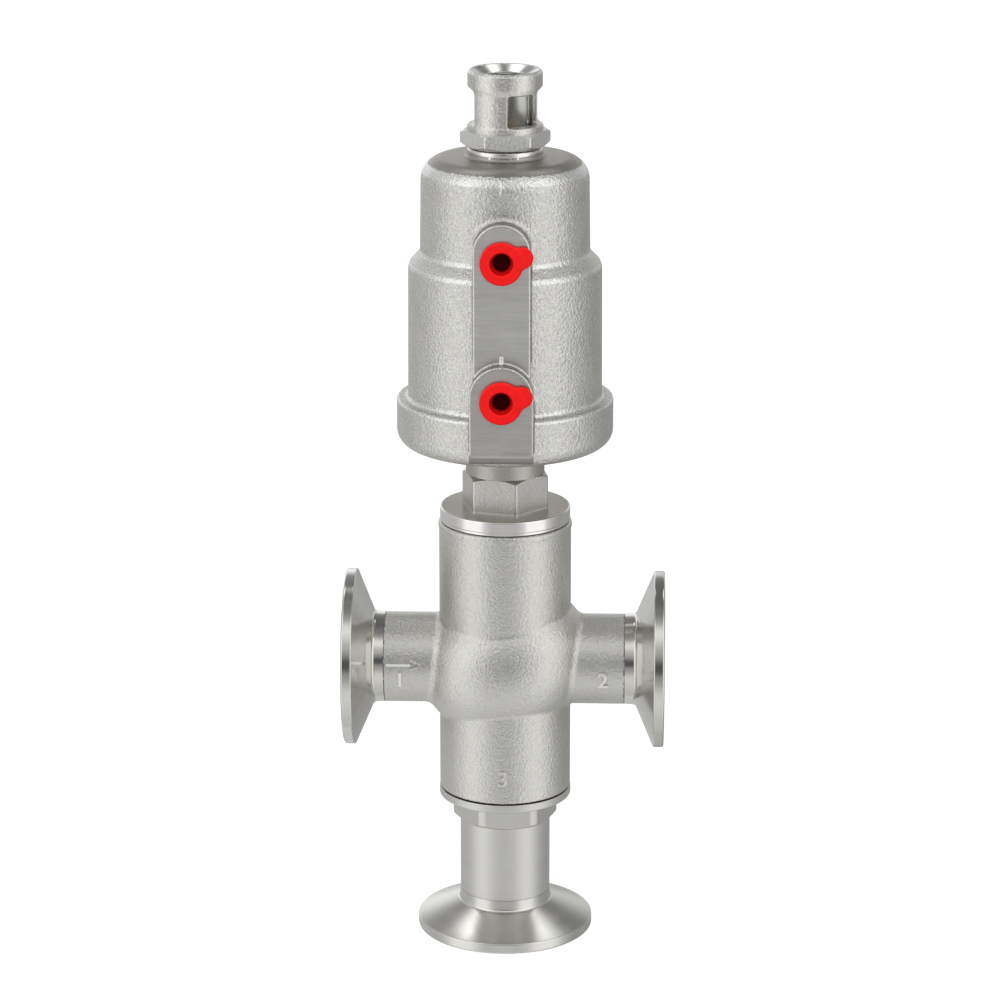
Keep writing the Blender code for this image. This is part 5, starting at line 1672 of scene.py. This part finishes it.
@dataclass(frozen=True)
class TransportPlug:
    """A push-in plug with a rim, a funnel mouth, a blind hole and a pull tab."""

    name: str
    body: Body
    face: float
    height: float
    stub_radius: float = 4.0
    stub: float = 5.2
    flange_radius: float = 5.95
    flange: float = 1.4
    mouth: float = 3.3
    hole: float = 2.35
    tab_radius: float = 3.0
    tab_right: float = 5.7
    tab_up: float = 1.8
    cell: float = 0.13

    def plug(self, u: Array, v: Array, w: Array) -> Array:
        """Field of the plug, looked at from the front: u right, v up, w towards the eye.

        Args:
            u: places to the right of its axis.
            v: places above its axis.
            w: places in front of the port's face.

        Returns:
            Distance to the plug.
        """
        away = np.hypot(u, v)
        stub = drum(away, w, self.stub_radius, -self.stub, 0.6, (0.3, 0.1))
        rim = drum(away, w, self.flange_radius, 0.3, self.flange, (0.25, 0.5))
        lobe = drum(
            np.hypot(u - self.tab_right, v - self.tab_up), w, self.tab_radius, 0.5, 1.25, (0.2, 0.3)
        )
        solid = join(join(stub, rim, 0.2), lobe, 1.0)
        funnel = (away - self.hole) * 0.94 - (w + 1.2) * 0.34
        funnel = np.maximum(funnel, -1.2 - w)
        blind = drum(away, w, self.hole, -self.stub + 0.6, 0.0, (0.3, 0.1))
        return meet(solid, -np.minimum(funnel, blind), 0.25)

    def build(self) -> None:
        """Mould the plug and dress it."""

        def placed(x: Array, y: Array, z: Array) -> Array:
            """Field of the plug in its port."""
            return self.plug(x, z - self.height, -y - self.face)

        mould = skin(
            placed, (-6.6, -self.face - 2.0, self.height - 6.6),
            (9.4, -self.face + self.stub + 0.6, self.height + 6.6), self.cell,
        )

        def in_hole(spots: Array) -> Array:
            """Pick the faces down the blind hole."""
            away = np.hypot(spots[:, 0], spots[:, 2] - self.height)
            return (spots[:, 1] > -self.face + 0.9) & (away < self.mouth + 0.05)

        def in_funnel(spots: Array) -> Array:
            """Pick the faces of the funnel mouth."""
            away = np.hypot(spots[:, 0], spots[:, 2] - self.height)
            ahead = -self.face - spots[:, 1]
            return (ahead < self.flange - 0.35) & (ahead > -0.9) & (away < self.mouth + 0.1)

        add_piece(
            "red_" + self.name, mould, RED, self.body, [self.name],
            areas=[(RED_HOLE_SHADE, in_hole), (RED_SHADE, in_funnel)],
        )


@dataclass(frozen=True)
class Markings:
    """Raised marks of the casting: a plain number at each port and a plain flow arrow."""

    proud: float = 0.5
    size: float = 6.4
    neck_radius: float = NECK_RADIUS
    body_radius: float = BODY_RADIUS

    def numeral(self, digit: str) -> Tuple[Array, List[Tuple[int, ...]]]:
        """Make a raised numeral about its own middle, as a mesh of flat outlines.

        Args:
            digit: the numeral.

        Returns:
            Its points (right, up, outwards) in millimetres and its faces.
        """
        curve = bpy.data.curves.new("numeral", "FONT")
        curve.body = digit
        curve.size = self.size
        curve.align_x, curve.align_y = "CENTER", "CENTER"
        curve.extrude = self.proud
        curve.bevel_depth = 0.12
        curve.bevel_resolution = 2
        holder = stand("numeral", curve)
        mesh = bpy.data.meshes.new_from_object(holder)
        points = np.empty(len(mesh.vertices) * 3)
        mesh.vertices.foreach_get("co", points)
        faces = [tuple(face.vertices) for face in mesh.polygons]
        bpy.data.objects.remove(holder)
        bpy.data.meshes.remove(mesh)
        bpy.data.curves.remove(curve)
        return points.reshape(-1, 3), faces

    @staticmethod
    def arrow() -> Tuple[Array, List[Tuple[int, ...]]]:
        """Make a plain raised arrow that points to the right, from a bar and a head.

        Returns:
            Its points (right, up, outwards) in millimetres and its faces.
        """
        bar = np.array([(-5.2, -0.36), (2.2, -0.36), (2.2, 0.36), (-5.2, 0.36)])
        head = np.array([(1.8, -1.7), (5.4, 0.0), (1.8, 1.7)])
        points: Array = np.empty((0, 3))
        faces: List[Tuple[int, ...]] = []
        for flat, wall, top, ridge in ((bar, 0.34, 0.5, 0.12), (head, 0.15, 0.6, 0.6)):
            count, first = len(flat), len(points)
            inward = flat.mean(0) + (flat - flat.mean(0)) * np.array([0.96, ridge])
            layers = [(flat, -0.5), (flat, wall), (inward, top)]
            rings = [np.column_stack([ring, np.full(count, lift)]) for ring, lift in layers]
            points = np.concatenate([points] + rings)
            near = np.arange(count)
            after = np.roll(near, -1)
            sides = np.stack([near, after, after + count, near + count], 1)
            walls = np.concatenate([sides, sides + count]) + first
            faces += [tuple(int(part) for part in face) for face in walls]
            faces.append(tuple(range(first + 2 * count, first + 3 * count)))
            faces.append(tuple(range(first + count - 1, first - 1, -1)))
        return points, faces

    @staticmethod
    def add(
        name: str, points: Array, faces: Sequence[Tuple[int, ...]], wrap: Callable[[Array], Array]
    ) -> None:
        """Wrap a mark round its carrier and dress it.

        Args:
            name: name of the piece.
            points: its points (right, up, outwards).
            faces: its faces.
            wrap: turns such points into places in the frame.
        """
        mesh = bpy.data.meshes.new(name)
        mesh.from_pydata(wrap(points) * MM, [], faces)
        mesh.materials.append(RAISED_HIGHLIGHT.material())
        settle(mesh)

    def on_neck(self, middle: float, elevation: float) -> Callable[[Array], Array]:
        """Wrap round a side neck: right runs along X, up runs round the neck.

        Args:
            middle: place along X.
            elevation: direction from the neck's axis, in degrees above the front.

        Returns:
            The wrapping function.
        """

        def wrap(points: Array) -> Array:
            """Bend the points round the neck."""
            turn = math.radians(elevation) + points[:, 1] / self.neck_radius
            reach = self.neck_radius + points[:, 2]
            back, up = -reach * np.cos(turn), reach * np.sin(turn)
            return np.stack([middle + points[:, 0], back, PORT_HEIGHT + up], 1)

        return wrap

    def on_barrel(self, level: float) -> Callable[[Array], Array]:
        """Wrap round the front of the barrel at a height.

        Args:
            level: height of the mark's middle.

        Returns:
            The wrapping function.
        """

        def wrap(points: Array) -> Array:
            """Bend the points round the barrel."""
            turn = points[:, 0] / self.body_radius
            reach = self.body_radius + points[:, 2]
            return np.stack([reach * np.sin(turn), -reach * np.cos(turn), level + points[:, 1]], 1)

        return wrap

    def build(self) -> None:
        """Put the marks on the casting."""
        places = {
            "1": self.on_neck(-29.6, -13.0),
            "2": self.on_neck(28.2, -11.0),
            "3": self.on_barrel(50.9),
        }
        for digit, wrap in places.items():
            self.add("port_number_" + digit, *self.numeral(digit), wrap)
        self.add("flow_arrow", *self.arrow(), self.on_neck(-28.4, 7.0))


@dataclass(frozen=True)
class InnerParts:
    """The pieces whose solids stay as they are and only get their finish."""

    def build(self) -> None:
        """Dress every node that no piece stands for."""
        finishes: Dict[str, Finish] = {
            "adaptor_gasket": WHITE_SEAL, "bonnet_gasket": WHITE_SEAL, "guide_bush": BUSH,
            "packing_ring_1": WHITE_SEAL, "packing_ring_2": WHITE_SEAL,
            "packing_ring_3": WHITE_SEAL, "packing_spring": SPRING, "packing_washer": TURNED,
            "gland_nut": TURNED,
            "cover_o_ring": RUBBER, "stem_o_ring": RUBBER, "indicator_o_ring": RUBBER,
            "valve_plug": TURNED, "lower_seat_seal": WHITE_SEAL,
            "upper_seat_seal": WHITE_SEAL, "plug_nut": TURNED, "spindle": MIRROR_TURNED,
            "piston": PISTON_METAL, "piston_seal": RUBBER, "piston_guide_ring": WHITE_SEAL,
            "piston_nut": TURNED, "indicator_rod": MIRROR_TURNED,
        }
        for name, finish in finishes.items():
            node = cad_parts[name]
            node.data.materials.clear()
            node.data.materials.append(finish.material())
            LOG.info("%s keeps its solid, %s", name, finish.name)


# ---------------------------------------------------------------------------------------------
# Studio
# ---------------------------------------------------------------------------------------------


@dataclass(frozen=True)
class Studio:
    """The picture's surroundings: a world of soft boxes by direction, fill lamp, white floor."""

    softbox: float = 1.6
    tilt: float = 0.2
    fill: float = 16.0
    focal_length: float = 135.4
    eye: Tuple[float, float, float] = (0.0357, -1.0234, 0.431)
    look_down: float = 16.45
    front_stops: Tuple[Tuple[float, float], ...] = (
        (-90, 0.67), (-70, 0.72), (-42, 0.9), (-29, 0.84), (-21, 0.66), (-14, 0.5), (-5, 0.36),
        (1, 0.12), (10, 0.1), (17, 0.3), (26, 0.55), (34, 0.66), (43, 0.95), (50, 1.1), (57, 1.0),
        (66, 0.5), (78, 0.27), (90, 0.22),
    )
    back_stops: Tuple[Tuple[float, float], ...] = (
        (-90, 0.67), (-60, 0.6), (-30, 0.5), (-16, 0.45), (-5, 0.6), (5, 1.0), (14, 0.98),
        (22, 0.66), (31, 0.28), (60, 0.17), (75, 0.17), (90, 0.2),
    )
    side_stops: Tuple[Tuple[float, float], ...] = (
        (0, 0.35), (20, 0.4), (35, 0.6), (43, 0.9), (72, 0.9), (82, 0.55), (95, 0.4), (115, 0.33),
        (180, 0.3),
    )
    tall_stops: Tuple[Tuple[float, float], ...] = (
        (-60, 0.7), (-40, 0.8), (-25, 0.82), (-8, 0.85), (8, 0.9), (25, 0.95), (45, 1.0), (58, 0.9),
        (70, 0.4), (90, 0.25),
    )

    def build(self) -> None:
        """Set up the room, the floor, the fill lamp and the camera."""
        self.room()
        self.floor()
        self.lamp()
        self.camera()
        bpy.context.scene.view_settings.view_transform = "Standard"

    def room(self) -> None:
        """Paint the room on the world as light by direction, white where the camera sees it.

        Elevation 0 to 1 runs from straight down to straight up; azimuth is 0 towards the
        camera and 1 straight behind the valve.
        """
        world = bpy.data.worlds.new("studio_room")
        bpy.context.scene.world = world
        world.use_nodes = True
        board = Board(world.node_tree)
        sky = world.node_tree.nodes["Background"]
        ray = board.node("ShaderNodeTexCoord").outputs["Generated"]
        parts = board.node("ShaderNodeSeparateXYZ", None, {0: ray})
        x, y, z = (Wire(board, out) for out in parts.outputs)
        rise = board.maths("ARCSINE", z) * (180.0 / math.pi)
        round_ = board.maths("ARCTAN2", x, y * -1.0) * (180.0 / math.pi)
        away = board.maths("ABSOLUTE", round_)
        front = self.ramp(board, rise, -90.0, 90.0, self.front_stops)
        back = self.ramp(board, rise, -90.0, 90.0, self.back_stops)
        side = self.ramp(board, away, 0.0, 180.0, self.side_stops)
        tall = self.ramp(board, rise, -90.0, 90.0, self.tall_stops)
        beside = self.ramp(board, away, 0.0, 180.0, ((0, 0), (8, 0), (36, 1), (108, 1), (145, 0)))
        behind = self.fade(board, away, 108.0, 37.0)
        level_band = ((-90, 0), (-62, 0), (-44, 1), (62, 1), (80, 0), (90, 0))
        beside = beside * self.ramp(board, rise, -90.0, 90.0, level_band)
        lean = self.fade(board, away, 80.0, 30.0)
        sign = board.maths("MAXIMUM", board.maths("MINIMUM", round_ * 0.1, 1.0), -1.0)
        light = front * (1.0 - beside) * (1.0 - behind) + side * tall * beside * self.softbox
        light = light + back * behind * (1.0 - beside)
        light = light * (1.0 - lean * sign * self.tilt)
        for spot, power in ((-146.0, 2.6), (146.0, 2.2)):
            turn, climb = math.radians(spot), math.radians(60.5)
            flat = math.cos(climb)
            aim = (math.sin(turn) * flat, -math.cos(turn) * flat, math.sin(climb))
            near = x * aim[0] + y * aim[1] + z * aim[2]
            lamp = board.maths("MULTIPLY_ADD", near, 40.0, -39.0, clamp=True)
            light = board.maths("MAXIMUM", light, lamp * power)
        seen = board.seen()
        level = light * (1.0 - seen) + seen
        sky.inputs["Color"].default_value = (1.0, 1.0, 1.0, 1.0)
        board.feed(sky.inputs["Strength"], level)

    @staticmethod
    def fade(board: Board, value: Wire, start: float, span: float) -> Wire:
        """Rise from 0 to 1 over a span that begins at a start."""
        return board.maths("MULTIPLY_ADD", value, 1.0 / span, -start / span, clamp=True)

    @staticmethod
    def ramp(
        board: Board, value: Wire, low: float, high: float, stops: Sequence[Tuple[float, float]]
    ) -> Wire:
        """Look a number up in a table, with straight lines between its stops.

        Args:
            board: the world's board.
            value: the number.
            low: the number at the table's start.
            high: the number at its end.
            stops: pairs of number and light.

        Returns:
            The light.
        """
        span = high - low
        places = [((place - low) / span, level) for place, level in stops]
        node = board.node(
            "ShaderNodeValToRGB", {"stops": places}, {0: value * (1.0 / span) - low / span}
        )
        return Wire(board, node.outputs[0])

    def floor(self) -> None:
        """Lay the white floor: part of it shines for the camera, the rest takes the shadow."""
        side, sink = 9.0, 0.0002
        points = np.array([(-side, -side, 0), (side, -side, 0), (side, side, 0), (-side, side, 0)])
        mesh = bpy.data.meshes.new("floor")
        mesh.from_pydata(points, [], [(0, 1, 2, 3)])
        material = bpy.data.materials.new("white_floor")
        material.use_nodes = True
        board = Board(material.node_tree)
        shader = material.node_tree.nodes["Principled BSDF"]
        shader.inputs["Base Color"].default_value = (0.45, 0.45, 0.45, 1.0)
        shader.inputs["Roughness"].default_value = 0.9
        shader.inputs["Specular IOR Level"].default_value = 0.0
        board.feed(shader.inputs["Emission Strength"], board.seen() * 0.75)
        shader.inputs["Emission Color"].default_value = (1.0, 1.0, 1.0, 1.0)
        mesh.materials.append(material)
        floor = stand("floor", mesh)
        floor.location.z = -sink
        floor.visible_glossy = False

    def lamp(self) -> None:
        """Hang a wide fill lamp in front above the valve, seen by matt surfaces only."""
        light = bpy.data.lights.new("fill_lamp", "AREA")
        light.shape = "RECTANGLE"
        light.size, light.size_y = 1.6, 1.2
        light.energy = self.fill
        lamp = stand("fill_lamp", light)
        lamp.location = (-0.3, -1.3, 1.5)
        lamp.rotation_euler = (math.radians(42.0), 0.0, math.radians(-13.0))
        lamp.visible_glossy = False

    def camera(self) -> None:
        """Set the camera at the picture's angle."""
        lens = bpy.data.cameras.new("camera")
        lens.sensor_width = 36.0
        lens.lens = self.focal_length
        lens.shift_x = -0.005
        lens.clip_end = 50.0
        camera = stand("camera", lens)
        camera.location = self.eye
        camera.rotation_euler = (math.radians(90.0 - self.look_down), 0.0, math.radians(2.0))
        bpy.context.scene.camera = camera


def main() -> None:
    """Build every piece of the valve and the studio round it."""
    logging.basicConfig(level=logging.INFO, format="%(message)s")
    cylinder = ActuatorCylinder()
    upper = (cylinder.column_face, cylinder.upper_port)
    lower = (cylinder.boss_face, cylinder.lower_port)
    builders = [
        ClampFerrule("a", Facing.RIGHT, (-PORT_REACH, 0.0, PORT_HEIGHT), FERRULE_SIDE),
        ClampFerrule("b", Facing.LEFT, (PORT_REACH, 0.0, PORT_HEIGHT), FERRULE_SIDE),
        ClampFerrule("c", Facing.UP, (0.0, 0.0, 0.0), FERRULE_FOOT),
        LowerAdaptor(),
        ValveBody(),
        Bonnet(),
        ActuatorCover(),
        cylinder,
        IndicatorCage(),
        ReturnSpring(),
        SightTube(),
        TransportPlug("port_plug_upper", Body.UPPER_PLUG, *upper),
        TransportPlug("port_plug_lower", Body.LOWER_PLUG, *lower),
        Markings(),
        InnerParts(),
        Studio(),
    ]
    for builder in builders:
        builder.build()


if __name__ == "__main__":
    main()
